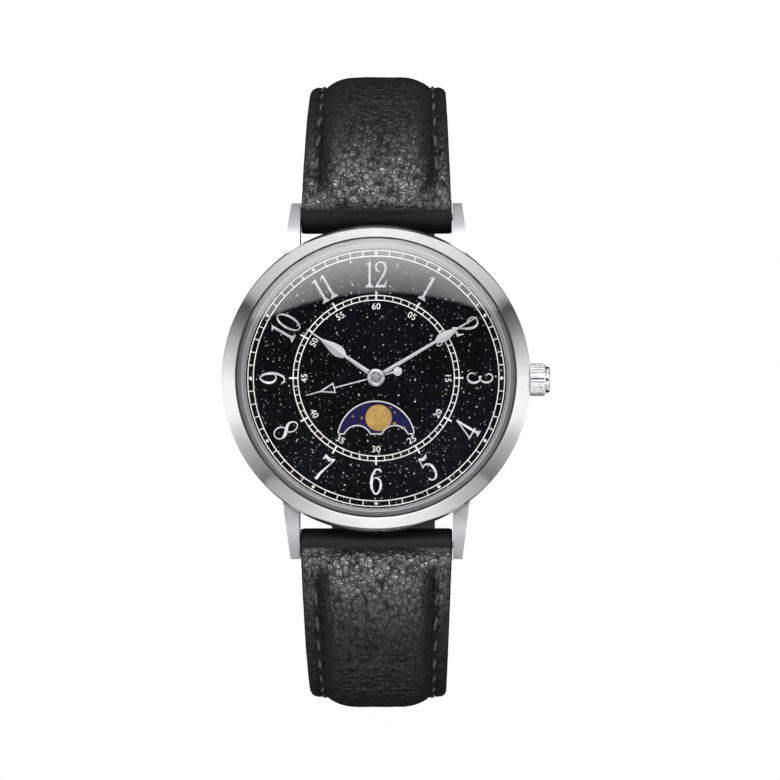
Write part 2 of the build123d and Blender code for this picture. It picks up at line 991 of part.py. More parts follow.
def make_moon_jumper():
    """A spring finger beside the moon disc's teeth."""
    reach = moon_disc_radius + fit_gap + jumper_tip_radius
    tip = polar(reach, jumper_tip_angle, *moon_place)
    arm = hull(
        [
            (jumper_eye_x, jumper_eye_y, jumper_thickness / 2),
            (*tip, jumper_thickness / 2),
        ],
        moon_bottom,
        moon_top,
    )
    arm += disc(jumper_tip_radius, moon_bottom, moon_top, *tip)
    arm += disc(jumper_eye_radius, plate_top, moon_top, jumper_eye_x, jumper_eye_y)
    return arm - disc(post_radius, plate_top, moon_top, jumper_eye_x, jumper_eye_y)


# Movement plates and screws

# Where the bridge stands on its pillars, as shares of the movement's radius
pillar_shares = [(0.094, -0.27), (0.258, 0.172), (-0.27, 0.36)]
pillar_places = [(movement_radius * x, movement_radius * y) for x, y in pillar_shares]
core_bottom = bridge_top + level_start
core_top = core_bottom + core_thickness
stator_top = core_top + stator_thickness
core_end_x = core_length / 2 - core_end_inset
core_screws = [(coil_x - core_end_x, coil_y), (coil_x + core_end_x, coil_y)]
coil_z = (core_bottom + core_top) / 2
board_bottom = plate_bottom - board_gap - board_thickness
board_top = board_bottom + board_thickness
board_pads = [(board_pad_x, board_pad_low_y), (board_pad_x, board_pad_high_y)]


def make_main_plate():
    body = disc(movement_radius, plate_bottom, plate_top)
    body -= disc(centre_tube_radius + centre_hole_gap, plate_bottom, plate_top)
    body -= disc(
        battery_radius + battery_recess_gap,
        plate_bottom,
        battery_bottom + battery_thickness + fit_gap,
        battery_x,
        battery_y,
    )
    pivot_top = plate_bottom + pivot_depth + fit_gap
    for place in (third_place, intermediate_place, rotor_place):
        body -= disc(pivot_radius + pivot_gap, plate_bottom, pivot_top, *place)
    half = coil_length / 2 + coil_recess_gap
    body -= block(
        coil_x - half,
        coil_x + half,
        coil_y - coil_radius - coil_recess_gap,
        coil_y + coil_radius + coil_recess_gap,
        plate_bottom,
        coil_z + coil_radius + coil_recess_gap,
    )
    body -= rod(
        channel_radius,
        square_start_x - stem_pivot_length - cut_overrun / 2,
        movement_radius + cut_overrun,
        0,
        stem_z,
    )
    wide = clutch_radius + clutch_pocket_gap
    body -= block(
        clutch_x - clutch_pocket_gap,
        clutch_x + clutch_length + clutch_pocket_gap,
        -wide,
        wide,
        plate_bottom,
        stem_z + wide,
    )
    room = lever_pin_radius + lever_pocket_gap
    body -= block(
        groove_x - room,
        groove_x + crown_pull + room,
        0,
        lever_pin_side + room,
        plate_bottom,
        stem_z + fit_gap,
    )
    for x, y in pillar_places:
        body += disc(pillar_radius, bridge_top, plate_bottom, x, y)
    for x, y in core_screws:
        body += disc(stator_arm_radius, stator_top, plate_bottom, x, y)
    for x, y in board_pads:
        body += disc(pad_radius, board_top, plate_bottom, x, y)
    body += disc(
        pad_radius, clamp_bottom + clamp_thickness, plate_bottom, clamp_screw_x, clamp_screw_y
    )
    body += disc(
        lever_post_radius, lever_bottom - fit_gap, plate_bottom, lever_pivot_x, lever_pivot_y
    )
    post_top = motion_level(2)[1]
    body += disc(post_radius, plate_top, motion_level(1)[1], *minute_place)
    body += disc(post_radius, plate_top, post_top, *moon_drive_place)
    body += disc(post_radius, plate_top, motion_level(0)[1] + fit_gap, *setting_place)
    body += disc(post_radius, plate_top, moon_top, jumper_eye_x, jumper_eye_y)
    body += disc(moon_boss_radius, plate_top, moon_bottom - fit_gap, *moon_place)
    body += disc(moon_post_radius, plate_top, moon_top, *moon_place)
    for x, y, low in screw_places():
        body -= disc(screw_shank_radius, low, plate_bottom + screw_bite, x, y)
    return body


def make_dial_side_plate():
    """The spacer under the dial, open over the motion work and the moon disc."""
    body = disc(movement_radius, plate_top, dial_bottom)
    hour_tip = pitch_radius(hour_wheel_teeth + 2, hour_module)
    minute_tip = pitch_radius(minute_wheel_teeth + 2, motion_module)
    moon_drive_tip = pitch_radius(moon_drive_teeth + 2, moon_module)
    setting_tip = pitch_radius(setting_teeth + 2, motion_module)
    for radius, place in (
        (hour_tip, centre),
        (minute_tip, minute_place),
        (moon_drive_tip, moon_drive_place),
        (setting_tip, setting_place),
        (moon_disc_radius, moon_place),
    ):
        body -= disc(radius + pocket_gap, plate_top, dial_bottom, *place)
    body -= hull(
        [
            (*moon_drive_place, moon_drive_tip + pocket_gap),
            (*minute_place, minute_tip + pocket_gap),
        ],
        plate_top,
        dial_bottom,
    )
    tip = polar(moon_disc_radius, jumper_tip_angle, *moon_place)
    body -= hull(
        [
            (jumper_eye_x, jumper_eye_y, jumper_eye_radius + pocket_gap),
            (*tip, jumper_eye_radius + pocket_gap),
        ],
        plate_top,
        dial_bottom,
    )
    return body


def make_train_bridge():
    circles = [(x, y, bridge_lobe) for x, y in pillar_places]
    circles.append((*third_place, bridge_lobe))
    circles.append((*rotor_place, bridge_lobe))
    body = hull(circles, bridge_bottom, bridge_top)
    low = bridge_top - pivot_depth - fit_gap
    for place in (centre, third_place, intermediate_place, rotor_place):
        body -= disc(pivot_radius + pivot_gap, low, bridge_top, *place)
    for x, y in pillar_places:
        body -= disc(screw_shank_radius, bridge_bottom, bridge_top, x, y)
    return body


def make_movement_holder():
    low = back_thickness + back_rim_height + holder_foot_gap
    body = ring(holder_radius, movement_radius + fit_gap, low, dial_bottom)
    return body - rod(
        stem_radius + bar_tip_radius, movement_radius, holder_radius + cut_overrun, 0, stem_z
    )


def screw_places():
    """Each screw as x, y and the height of the underside of its head."""
    places = [(x, y, bridge_bottom) for x, y in pillar_places]
    places += [(x, y, core_bottom) for x, y in core_screws]
    places += [(x, y, board_bottom) for x, y in board_pads]
    places.append((clamp_screw_x, clamp_screw_y, clamp_bottom))
    return places


def make_movement_screws():
    screws = []
    for x, y, low in screw_places():
        screw = disc(screw_head_radius, low - screw_head_height, low, x, y)
        screw += disc(screw_shank_radius, low, plate_bottom + screw_bite, x, y)
        half = screw_slot_width / 2
        screw -= block(
            x - screw_head_radius,
            x + screw_head_radius,
            y - half,
            y + half,
            low - screw_head_height,
            low - screw_head_height + screw_slot_depth,
        )
        screws.append(screw)
    return Compound(children=screws)


# Electronics


def make_battery():
    low = battery_bottom
    body = disc(battery_step_radius, low, low + battery_step_height, battery_x, battery_y)
    return body + disc(
        battery_radius,
        low + battery_step_height,
        low + battery_thickness,
        battery_x,
        battery_y,
    )


def make_battery_clamp():
    low = clamp_bottom
    body = hull(
        [
            (battery_x, battery_y, clamp_width / 2),
            (clamp_screw_x, clamp_screw_y, clamp_width / 2),
        ],
        low,
        low + clamp_thickness,
    )
    return body - disc(
        screw_shank_radius, low, low + clamp_thickness, clamp_screw_x, clamp_screw_y
    )


def make_coil():
    half = coil_length / 2
    body = rod(coil_radius, coil_x - half, coil_x + half, coil_y, coil_z)
    return body - block(
        coil_x - half,
        coil_x + half,
        coil_y - core_width / 2,
        coil_y + core_width / 2,
        core_bottom,
        core_top,
    )


def make_coil_core():
    half = core_length / 2
    body = block(
        coil_x - half,
        coil_x + half,
        coil_y - core_width / 2,
        coil_y + core_width / 2,
        core_bottom,
        core_top,
    )
    for x, y in core_screws:
        body -= disc(screw_shank_radius, core_bottom, core_top, x, y)
    return body


def make_stator():
    middle = (*rotor_place, stator_ring_radius)
    body = hull([middle, (*core_screws[0], stator_arm_radius)], core_top, stator_top)
    body += hull([middle, (*core_screws[1], stator_arm_radius)], core_top, stator_top)
    half = coil_length / 2 + coil_recess_gap
    body -= block(
        coil_x - half,
        coil_x + half,
        coil_y - coil_radius - coil_recess_gap,
        coil_y + coil_radius + coil_recess_gap,
        core_top,
        stator_top,
    )
    body -= disc(rotor_radius + stator_bore_gap, core_top, stator_top, *rotor_place)
    for x, y in core_screws:
        body -= disc(screw_shank_radius, core_top, stator_top, x, y)
    return body


def make_circuit_board():
    body = block(
        board_left_x, board_right_x, board_low_y, board_high_y, board_bottom, board_top
    )
    body &= disc(movement_radius - pocket_gap, board_bottom, board_top)
    half = chip_side / 2
    chip_x = (board_left_x + board_right_x) / 2
    body += block(
        chip_x - half,
        chip_x + half,
        chip_y - half,
        chip_y + half,
        board_bottom - chip_height,
        board_bottom,
    )
    for x, y in board_pads:
        body -= disc(screw_shank_radius, board_bottom, board_top, x, y)
    return body


def make_quartz_can():
    body = Cylinder(can_radius, can_length)
    return Pos(can_x, can_y, board_bottom - can_radius) * Rot(90, 0, 0) * body


# Dial, moon window and hands


def window_face():
    """The moon window: an arch over a sill with two humps."""
    shape = Circle(window_radius)
    shape -= Pos(0, window_sill - window_radius) * Rectangle(
        2 * window_radius, 2 * window_radius
    )
    for sign in (1, -1):
        shape -= Pos(sign * hump_spread, 0) * Circle(hump_radius)
    tips = [v for v in shape.vertices() if abs(v.X) > hump_spread]
    return fillet(tips, window_tip_round)


def make_dial():
    body = ring(dial_radius, dial_hole_radius, dial_bottom, dial_top)
    opening = extrude(window_face(), dial_thickness)
    return body - Pos(*moon_place, dial_bottom) * opening


def make_moon_window_rim():
    inner = window_face()
    outer = offset(inner, rim_width, kind=Kind.ARC)
    return Pos(*moon_place, dial_top) * extrude(outer - inner, rim_height)


def half_outline(points, curve_from, curve_to):
    """A blade along X from (x, half width) points, curved over part of its length."""
    sides = []
    for sign in (1, -1):
        line = [(x, sign * half) for x, half in points]
        if curve_from > 0:
            sides.append(Polyline(*line[: curve_from + 1]))
        sides.append(Spline(*line[curve_from : curve_to + 1]))
        sides.append(Polyline(*line[curve_to:]))
    root = points[0]
    tip = points[-1]
    ends = [Line((root[0], root[1]), (root[0], -root[1]))]
    ends.append(Line((tip[0], tip[1]), (tip[0], -tip[1])))
    return make_face(sides + ends)


def placed_hand(shape, angle, low):
    """Turn a hand from +X to its clock angle, clockwise from twelve."""
    return Pos(0, 0, low) * Rot(0, 0, 90 - angle) * shape


def make_hour_hand():
    points = [
        (0, hour_root_half),
        (hour_stem_end, hour_neck_half),
        (hour_leaf_peak, hour_peak_half),
        (hour_leaf_waist, hour_waist_half),
        (hour_leaf_end, hour_point_half),
        (hour_hand_length, hour_tip_half),
    ]
    body = extrude(half_outline(points, 1, 4), hand_thickness)
    body += disc(hour_hub_radius, 0, hand_thickness)
    body -= disc(hour_tube_radius, 0, hand_thickness)
    return placed_hand(body, hand_time_hour_angle, hour_hand_bottom)


def make_minute_hand():
    points = [
        (0, minute_root_half),
        (minute_stem_end, minute_neck_half),
        (minute_leaf_peak, minute_peak_half),
        (minute_leaf_waist, minute_waist_half),
        (minute_leaf_end, minute_point_half),
        (minute_hand_length, minute_tip_half),
    ]
    body = extrude(half_outline(points, 1, 4), hand_thickness)
    body += disc(minute_hub_radius, 0, hand_thickness)
    body -= disc(cannon_radius, 0, hand_thickness)
    return placed_hand(body, hand_time_minute_angle, minute_hand_bottom)


def make_seconds_hand():
    low = dial_top + seconds_hand_lift
    shaft = block(
        -seconds_tail,
        seconds_arrow_start + seconds_arrow_line,
        -seconds_shaft_half,
        seconds_shaft_half,
        0,
        hand_thickness,
    )
    arrow = [
        (seconds_arrow_start, -seconds_arrow_half),
        (seconds_arrow_end, 0),
        (seconds_arrow_start, seconds_arrow_half),
    ]
    slope = math.atan2(seconds_arrow_half, seconds_arrow_end - seconds_arrow_start)
    back = seconds_arrow_line / math.sin(slope)
    inner_start = seconds_arrow_start + seconds_arrow_line
    inner_half = (seconds_arrow_end - back - inner_start) * math.tan(slope)
    inner = [
        (inner_start, -inner_half),
        (seconds_arrow_end - back, 0),
        (inner_start, inner_half),
    ]
    needle = [
        (seconds_arrow_end - back, -seconds_shaft_half),
        (seconds_arrow_end - back, seconds_shaft_half),
        (seconds_hand_length, seconds_tip_half),
        (seconds_hand_length, -seconds_tip_half),
    ]
    body = prism(arrow, 0, hand_thickness) - prism(inner, 0, hand_thickness)
    body += shaft
    body += prism(needle, 0, hand_thickness)
    body += disc(seconds_tail_radius, 0, hand_thickness, -seconds_tail, 0)
    body += disc(seconds_hub_radius, 0, hand_thickness + hand_hub_height)
    body -= disc(seconds_arbor_radius, 0, hand_thickness + hand_hub_height)
    return placed_hand(body, hand_time_second_angle, low)


# Applied numerals. Every value is a share of the numeral's height.
# A stroke is a list of (x, y, width), a plate a list of (x, y), and a ring
# (x, y, half width, half height, side stroke, end stroke, lean in degrees).
digit_width_shares = {
    "0": 0.5,
    "1": 0.31,
    "2": 0.46,
    "3": 0.42,
    "4": 0.47,
    "5": 0.44,
    "6": 0.45,
    "7": 0.44,
    "8": 0.47,
    "9": 0.45,
}
six_stroke_shares = [
    [
        (0.405, 0.87, 0.06),
        (0.36, 0.955, 0.07),
        (0.27, 0.975, 0.05),
        (0.13, 0.85, 0.07),
        (0.055, 0.62, 0.095),
        (0.05, 0.4, 0.095),
        (0.1, 0.17, 0.07),
        (0.22, 0.03, 0.045),
    ],
    [
        (0.09, 0.57, 0.035),
        (0.22, 0.655, 0.045),
        (0.355, 0.57, 0.07),
        (0.405, 0.4, 0.085),
        (0.36, 0.19, 0.075),
        (0.22, 0.03, 0.045),
    ],
]
digit_stroke_shares = {
    "2": [
        [
            (0.19, 0.6, 0.05),
            (0.08, 0.67, 0.06),
            (0.045, 0.8, 0.05),
            (0.12, 0.94, 0.045),
            (0.24, 0.975, 0.05),
            (0.37, 0.91, 0.07),
            (0.415, 0.74, 0.085),
            (0.36, 0.54, 0.08),
            (0.22, 0.3, 0.06),
            (0.06, 0.07, 0.045),
        ]
    ],
    "3": [
        [
            (0.09, 0.31, 0.05),
            (0.025, 0.2, 0.045),
            (0.1, 0.05, 0.05),
            (0.24, 0.025, 0.055),
            (0.375, 0.15, 0.085),
            (0.385, 0.33, 0.08),
            (0.28, 0.5, 0.045),
        ],
        [
            (0.27, 0.49, 0.045),
            (0.365, 0.63, 0.07),
            (0.375, 0.8, 0.08),
            (0.27, 0.95, 0.05),
            (0.13, 0.95, 0.045),
            (0.06, 0.84, 0.045),
            (0.12, 0.73, 0.05),
        ],
    ],
    "5": [
        [
            (0.045, 0.6, 0.035),
            (0.16, 0.665, 0.05),
            (0.32, 0.6, 0.075),
            (0.395, 0.4, 0.09),
            (0.37, 0.17, 0.08),
            (0.25, 0.03, 0.055),
            (0.12, 0.04, 0.05),
            (0.045, 0.15, 0.07),
        ]
    ],
    "6": six_stroke_shares,
    "8": [
        [
            (0.07, 0.83, 0.04),
            (0.1, 0.67, 0.09),
            (0.23, 0.52, 0.12),
            (0.37, 0.38, 0.1),
            (0.43, 0.22, 0.05),
        ]
    ],
}
digit_ring_shares = {
    "0": [(0.25, 0.5, 0.25, 0.5, 0.075, 0.035, 0)],
    "8": [
        (0.245, 0.745, 0.195, 0.255, 0.045, 0.035, 0),
        (0.235, 0.265, 0.235, 0.265, 0.045, 0.035, 0),
    ],
}
digit_plate_shares = {
    "1": [
        [
            (0, 0),
            (0.31, 0),
            (0.31, 0.03),
            (0.2, 0.14),
            (0.195, 1),
            (0.15, 0.97),
            (0, 0.885),
            (0.01, 0.86),
            (0.11, 0.895),
            (0.11, 0.14),
            (0, 0.03),
        ]
    ],
    "2": [
        [(0, 0), (0.41, 0), (0.46, 0.26), (0.43, 0.26), (0.36, 0.1), (0.07, 0.1)],
    ],
    "3": [
        [(0.29, 0.465), (0.3, 0.52), (0.2, 0.53), (0.15, 0.57), (0.13, 0.5), (0.16, 0.43)],
    ],
    "4": [
        [
            (0.22, 0),
            (0.47, 0),
            (0.47, 0.02),
            (0.385, 0.12),
            (0.385, 1),
            (0.345, 1),
            (0.305, 0.93),
            (0.305, 0.12),
            (0.22, 0.02),
        ],
        [(0, 0.22), (0.34, 0.99), (0.34, 0.9), (0.065, 0.27)],
        [(0, 0.22), (0.46, 0.22), (0.46, 0.27), (0.065, 0.27)],
    ],
    "5": [
        [(0.03, 0.585), (0.065, 0.585), (0.1, 0.97), (0.06, 0.99)],
        [
            (0.06, 0.99),
            (0.16, 0.94),
            (0.3, 0.95),
            (0.41, 1.02),
            (0.37, 0.88),
            (0.24, 0.82),
            (0.085, 0.86),
        ],
    ],
    "7": [
        [
            (0, 0.78),
            (0.035, 0.78),
            (0.08, 0.86),
            (0.27, 0.84),
            (0.38, 0.87),
            (0.44, 1),
            (0.28, 0.94),
            (0.12, 0.96),
            (0.03, 1),
        ],
        [(0.1, 0), (0.21, 0), (0.23, 0.25), (0.44, 1), (0.385, 0.9), (0.15, 0.27)],
    ],
}


def stroke_face(stroke_shares):
    """A ribbon of changing width along a curve."""
    points = [Vector(x, y) * numeral_height for x, y, _ in stroke_shares]
    left = []
    right = []
    for index, point in enumerate(points):
        before = points[max(index - 1, 0)]
        after = points[min(index + 1, len(points) - 1)]
        normal = (after - before).normalized().rotate(Axis.Z, 90)
        half = stroke_shares[index][2] * numeral_height / 2
        left.append(point + normal * half)
        right.append(point - normal * half)
    edges = [
        Spline(*left),
        Line(left[-1], right[-1]),
        Spline(*right),
        Line(right[0], left[0]),
    ]
    return make_face(edges)


def ring_face(ring_shares):
    x, y, half_x, half_y, side, end, lean = ring_shares
    high = numeral_height
    outer = Ellipse(half_x * high, half_y * high)
    inner = Ellipse((half_x - side) * high, (half_y - end) * high)
    return Pos(x * high, y * high) * Rot(0, 0, lean) * (outer - inner)


def digit_body(digit):
    """One digit standing on the X axis with its left edge at zero."""
    high = numeral_height
    if digit == "9":
        turned_six = Rot(0, 0, 180) * digit_body("6")
        return Pos(digit_width_shares["9"] * high, high) * turned_six
    faces = [stroke_face(s) for s in digit_stroke_shares.get(digit, [])]
    faces += [ring_face(r) for r in digit_ring_shares.get(digit, [])]
    for plate_shares in digit_plate_shares.get(digit, []):
        faces.append(outline([(x * high, y * high) for x, y in plate_shares]))
    body = extrude(faces[0], numeral_thickness)
    for face in faces[1:]:
        body += extrude(face, numeral_thickness)
    return body


def make_hour_numerals():
    solids = []
    for hour in range(1, 13):
        text = str(hour)
        widths = [digit_width_shares[d] * numeral_height for d in text]
        total = sum(widths) + numeral_gap * (len(text) - 1)
        turn = -30.0 * hour
        upside_down = first_low_hour <= hour <= last_low_hour
        x = -total / 2
        for digit, width in zip(text, widths):
            body = Pos(x, -numeral_height / 2) * digit_body(digit)
            if upside_down:
                body = Rot(0, 0, 180) * body
            body = Rot(0, 0, turn) * Pos(0, numeral_ring_radius, dial_top) * body
            solids += body.solids()
            x += width + numeral_gap
    return Compound(children=solids)


# Strap. The path starts at the spring bar, runs out level, bends down,
# drops straight, bends in and runs level under the watch.

tail_half_length = buckle_half_length + tail_extra_length
bend_length = strap_bend * math.pi / 2
low_bend_length = strap_low_bend * math.pi / 2
strap_drop = buckle_half_length - end_bar_run - bend_length - low_bend_length
drop_end = bend_length + strap_drop
low_bend_end = drop_end + low_bend_length
low_z = lug_bar_z - strap_bend - strap_drop
low_y = lug_bar_y + strap_bend - strap_low_bend


def path_normal(s):
    """Outward direction of the strap's face at this path length, as (y, z)."""
    if s <= bend_length:
        turn = s / strap_bend
        return (math.sin(turn), math.cos(turn))
    if s <= drop_end:
        return (1.0, 0.0)
    turn = min((s - drop_end) / strap_low_bend, math.pi / 2)
    return (math.cos(turn), -math.sin(turn))


def path_point(s, away):
    """A point at a path length, this far out from the path, as (0, y, z)."""
    normal = path_normal(s)
    if s <= bend_length:
        reach = strap_bend + away
        return (0, lug_bar_y + reach * normal[0], lug_bar_z - strap_bend + reach * normal[1])
    if s <= drop_end:
        down = s - bend_length
        return (0, lug_bar_y + strap_bend + away, lug_bar_z - strap_bend - down)
    reach = strap_low_bend + away
    run = max(s - low_bend_end, 0)
    return (0, low_y + reach * normal[0] - run, low_z + reach * normal[1])


def path_run(start, end, away):
    """Edges along the path between two lengths, at one distance from it."""
    stops = [start]
    stops += [s for s in (bend_length, drop_end, low_bend_end) if start < s < end]
    stops.append(end)
    edges = []
    for first, last in zip(stops, stops[1:]):
        middle = (first + last) / 2
        points = [path_point(s, away) for s in (first, middle, last)]
        straight = bend_length <= first < drop_end or first >= low_bend_end
        if straight:
            edges.append(Line(points[0], points[2]))
        else:
            edges.append(ThreePointArc(*points))
    return edges


def thick_band(edges):
    face = make_face(edges)
    return extrude(face, strap_width, both=True, dir=(1, 0, 0))


def band(start, end, inside, outside):
    """A strip between two distances from the path, wider than the strap."""
    edges = path_run(start, end, outside) + path_run(start, end, inside)
    for s in (start, end):
        edges.append(Line(path_point(s, inside), path_point(s, outside)))
    return thick_band(edges)


def taper(inset):
    """The strap's width, seen from above and from the end, less an inset."""
    half = strap_width / 2 - inset
    half_bend = bend_width / 2 - inset
    half_end = buckle_width / 2 - inset
    out_y = lug_bar_y + strap_bend + leather_outside + pad_crown
    far = tail_half_length
    plan = [
        (-half, -far),
        (half, -far),
        (half, lug_bar_y),
        (half_bend, out_y),
        (-half_bend, out_y),
        (-half, lug_bar_y),
    ]
    top_z = lug_bar_z + strap_bend
    bend_z = lug_bar_z - strap_bend
    narrow_z = low_z + taper_end_rise
    front = [
        (half_end, -far),
        (half_end, narrow_z),
        (half_bend, bend_z),
        (half + cut_overrun, lug_bar_z + leather_outside),
        (half + cut_overrun, top_z),
    ]
    front += [(-x, z) for x, z in reversed(front)]
    side = make_face(Polyline(*[(x, 0, z) for x, z in front], close=True))
    return prism(plan, -far, top_z) & extrude(side, far, both=True, dir=(0, 1, 0))


def hem():
    """The leather folded round the spring bar."""
    half = strap_width / 2
    return rod(strap_hem_radius, -half, half, lug_bar_y, lug_bar_z)


def bar_hole():
    return rod(
        bar_radius + bar_hole_gap, -strap_width, strap_width, lug_bar_y, lug_bar_z
    )


def pad_band(crown, floor, side_cut, trim):
    """The raised pad's side view: up from the hem, along, and down to nothing."""
    start = pad_start + trim
    full = start + pad_rise
    full_end = pad_full_end - trim
    fade_end = pad_fade_end - trim
    top = leather_outside + crown
    edges = path_run(full, full_end, top) + path_run(start, fade_end, floor)
    if full_end > bend_length:
        edges.append(Line(path_point(full_end, top), path_point(fade_end, leather_outside)))
    edges.append(Line(path_point(fade_end, leather_outside), path_point(fade_end, floor)))
    edges.append(Line(path_point(start, floor), path_point(start, leather_outside)))
    edges.append(Line(path_point(start, leather_outside), path_point(full, top)))
    return thick_band(edges) & taper(side_cut)


def raised_pad():
    """The pad as seen from outside, rounded along its top and faded at its end."""
    floor = leather_outside - pad_overlap
    top = leather_outside + pad_crown
    body = band(pad_start, pad_fade_end, floor, top) & taper(pad_inset)
    corners = []
    for edge in body.edges():
        middle = edge.position_at(0.5)
        near = middle.Z > lug_bar_z and middle.Y < lug_bar_y + pad_rise
        if near and abs(edge.tangent_at(0.5).X) < 0.5 and edge.length < 2 * pad_crown:
            corners.append(edge)
    body = fillet(corners, pad_corner_round)
    rims = []
    for edge in body.edges():
        middle = edge.position_at(0.5)
        at_end = middle.Z < lug_bar_z and abs(edge.tangent_at(0.5).X) > 0.5
        if is_pad_top(middle.Y, middle.Z) and not at_end:
            rims.append(edge)
    body = fillet(rims, pad_edge_round)
    _, high_y, full_z = path_point(pad_full_end, top + cut_overrun)
    _, low_y, fade_z = path_point(pad_fade_end, leather_outside)
    wedge = [
        (0, high_y - cut_overrun, full_z),
        (0, high_y, full_z),
        (0, high_y, fade_z),
        (0, low_y, fade_z),
    ]
    face = make_face(Polyline(*wedge, close=True))
    return body - extrude(face, strap_width, both=True, dir=(1, 0, 0))


def is_pad_top(y, z):
    """Whether a point lies on the pad's outer face."""
    top = leather_outside + pad_crown
    bend_z = lug_bar_z - strap_bend
    if z >= bend_z:
        away = math.hypot(y - lug_bar_y, z - bend_z) - strap_bend
    else:
        away = y - lug_bar_y - strap_bend
    return away > top - fit_gap


def strap_layers(length):
    """Top leather, padding and lining of one half, before holes and ends."""
    base = band(0, length, leather_inside, leather_outside) & taper(0)
    filling = pad_band(
        pad_crown - pad_wall, leather_inside, pad_inset + pad_wall, pad_wall
    )
    top = base + hem() + raised_pad()
    top -= filling
    top -= bar_hole()
    lining = band(0, length, lining_inside, leather_inside) & taper(0)
    lining -= hem()
    return top, filling, lining


def end_bar_place():
    return path_point(buckle_half_length, end_bar_offset)


def upper_strap():
    """The buckle half, hemmed round its own bar and slotted for the tongue."""
    top, filling, lining = strap_layers(buckle_half_length)
    _, y, z = end_bar_place()
    half = buckle_width / 2
    fold = rod(end_hem_radius, -half, half, y, z)
    slot = block(
        -tongue_slot_half,
        tongue_slot_half,
        y - end_hem_radius - cut_overrun,
        y + tongue_slot_back,
        z - end_hem_radius - cut_overrun,
        z + end_hem_radius + cut_overrun,
    )
    hole = rod(end_bar_radius + bar_hole_gap, -half, half, y, z)
    top = top + fold - slot - hole
    lining = lining - fold - slot
    return top, filling, lining


def hole_cutter(s, radius):
    normal = path_normal(s)
    _, y, z = path_point(s, lining_inside - cut_overrun)
    plane = Plane(origin=(0, y, z), x_dir=(1, 0, 0), z_dir=(0, normal[0], normal[1]))
    height = leather_outside - lining_inside + 2 * cut_overrun
    body = Cylinder(radius, height, align=(Align.CENTER, Align.CENTER, Align.MIN))
    return plane.location * body


def tail_tip_cutter():
    """What rounds the tail's end off in plan."""
    _, end_y, end_z = path_point(tail_half_length, 0)
    half = buckle_width / 2 + cut_overrun
    deep = 2 * tail_tip_round
    square = Pos(0, end_y) * Rectangle(2 * half, 2 * deep)
    start_y = end_y + deep
    tongue = Pos(0, start_y) * RectangleRounded(
        buckle_width, 2 * deep, tail_tip_round
    )
    height = leather_outside + strap_low_bend
    return Pos(0, 0, end_z - height / 2) * extrude(square - tongue, height)


def lower_strap():
    """The tail half, with its row of holes and round tip, at six o'clock."""
    top, filling, lining = strap_layers(tail_half_length)
    cutters = [tail_tip_cutter()]
    for index in range(strap_holes):
        s = tail_half_length - strap_hole_first - index * strap_hole_pitch
        cutters.append(hole_cutter(s, strap_hole_radius))
    top -= cutters
    lining -= cutters
    return [mirror(piece, Plane.XZ) for piece in (top, filling, lining)]


def make_spring_bar(radius, y, z, half, tip_radius, tip_length):
    body = rod(radius, -half, half, y, z)
    return body + rod(tip_radius, -half - tip_length, half + tip_length, y, z)


def make_buckle_frame():
    _, y, z = end_bar_place()
    inner = buckle_width / 2 + frame_side_gap
    outer = inner + frame_arm_width
    low = z - frame_thickness / 2
    far_y = y - frame_far_length
    middle_y = (y + far_y) / 2
    deep = y - far_y
    outside = Pos(0, middle_y) * RectangleRounded(2 * outer, deep, frame_corner_round)
    outside += Pos(0, (middle_y + y) / 2) * Rectangle(2 * outer, deep / 2)
    start = far_y + frame_far_bar
    inside_deep = y + frame_ear_radius + cut_overrun - start
    inside = Pos(0, start + inside_deep / 2) * RectangleRounded(
        2 * inner, inside_deep, frame_inner_round
    )
    body = extrude(outside - inside, frame_thickness)
    body = Pos(0, 0, low) * body
    for sign in (1, -1):
        near, far = sorted((sign * inner, sign * outer))
        body += rod(frame_ear_radius, near, far, y, z)
    half = inner + bar_tip_length + tip_gap
    body -= rod(bar_tip_radius + tip_gap, -half, half, y, z)
    body -= block(
        -tongue_half_width - notch_gap,
        tongue_half_width + notch_gap,
        far_y - cut_overrun,
        start + cut_overrun,
        low - cut_overrun,
        low + tongue_thickness + notch_gap,
    )
    return body


def make_buckle_tongue():
    _, y, z = end_bar_place()
    low = z - frame_thickness / 2
    body = block(
        -tongue_half_width,
        tongue_half_width,
        y - frame_far_length - tongue_reach,
        y,
        low,
        low + tongue_thickness,
    )
    body += rod(tongue_eye_radius, -tongue_half_width, tongue_half_width, y, z)
    hole = end_bar_radius + tongue_eye_gap
    return body - rod(hole, -strap_width, strap_width, y, z)


def keeper(s):
    """A leather loop round the strap, with room for the tail, at a path length."""
    inner_half = buckle_width / 2 + keeper_side_gap
    low = lining_inside - keeper_inside_gap
    high = leather_outside + keeper_tail_room
    inside = Pos(0, (low + high) / 2) * Rectangle(2 * inner_half, high - low)
    outside = Pos(0, (low + high) / 2) * RectangleRounded(
        2 * (inner_half + keeper_wall), high - low + 2 * keeper_wall, keeper_round
    )
    loop = extrude(outside - inside, keeper_length / 2, both=True)
    normal = path_normal(s)
    _, y, z = path_point(s, 0)
    along = (0, -normal[1], normal[0])
    plane = Plane(origin=(0, y, z), x_dir=(1, 0, 0), z_dir=along)
    return plane.location * loop


fixed_keeper_length = drop_end + strap_low_bend * math.radians(fixed_keeper_angle)
floating_keeper_length = drop_end - floating_keeper_rise


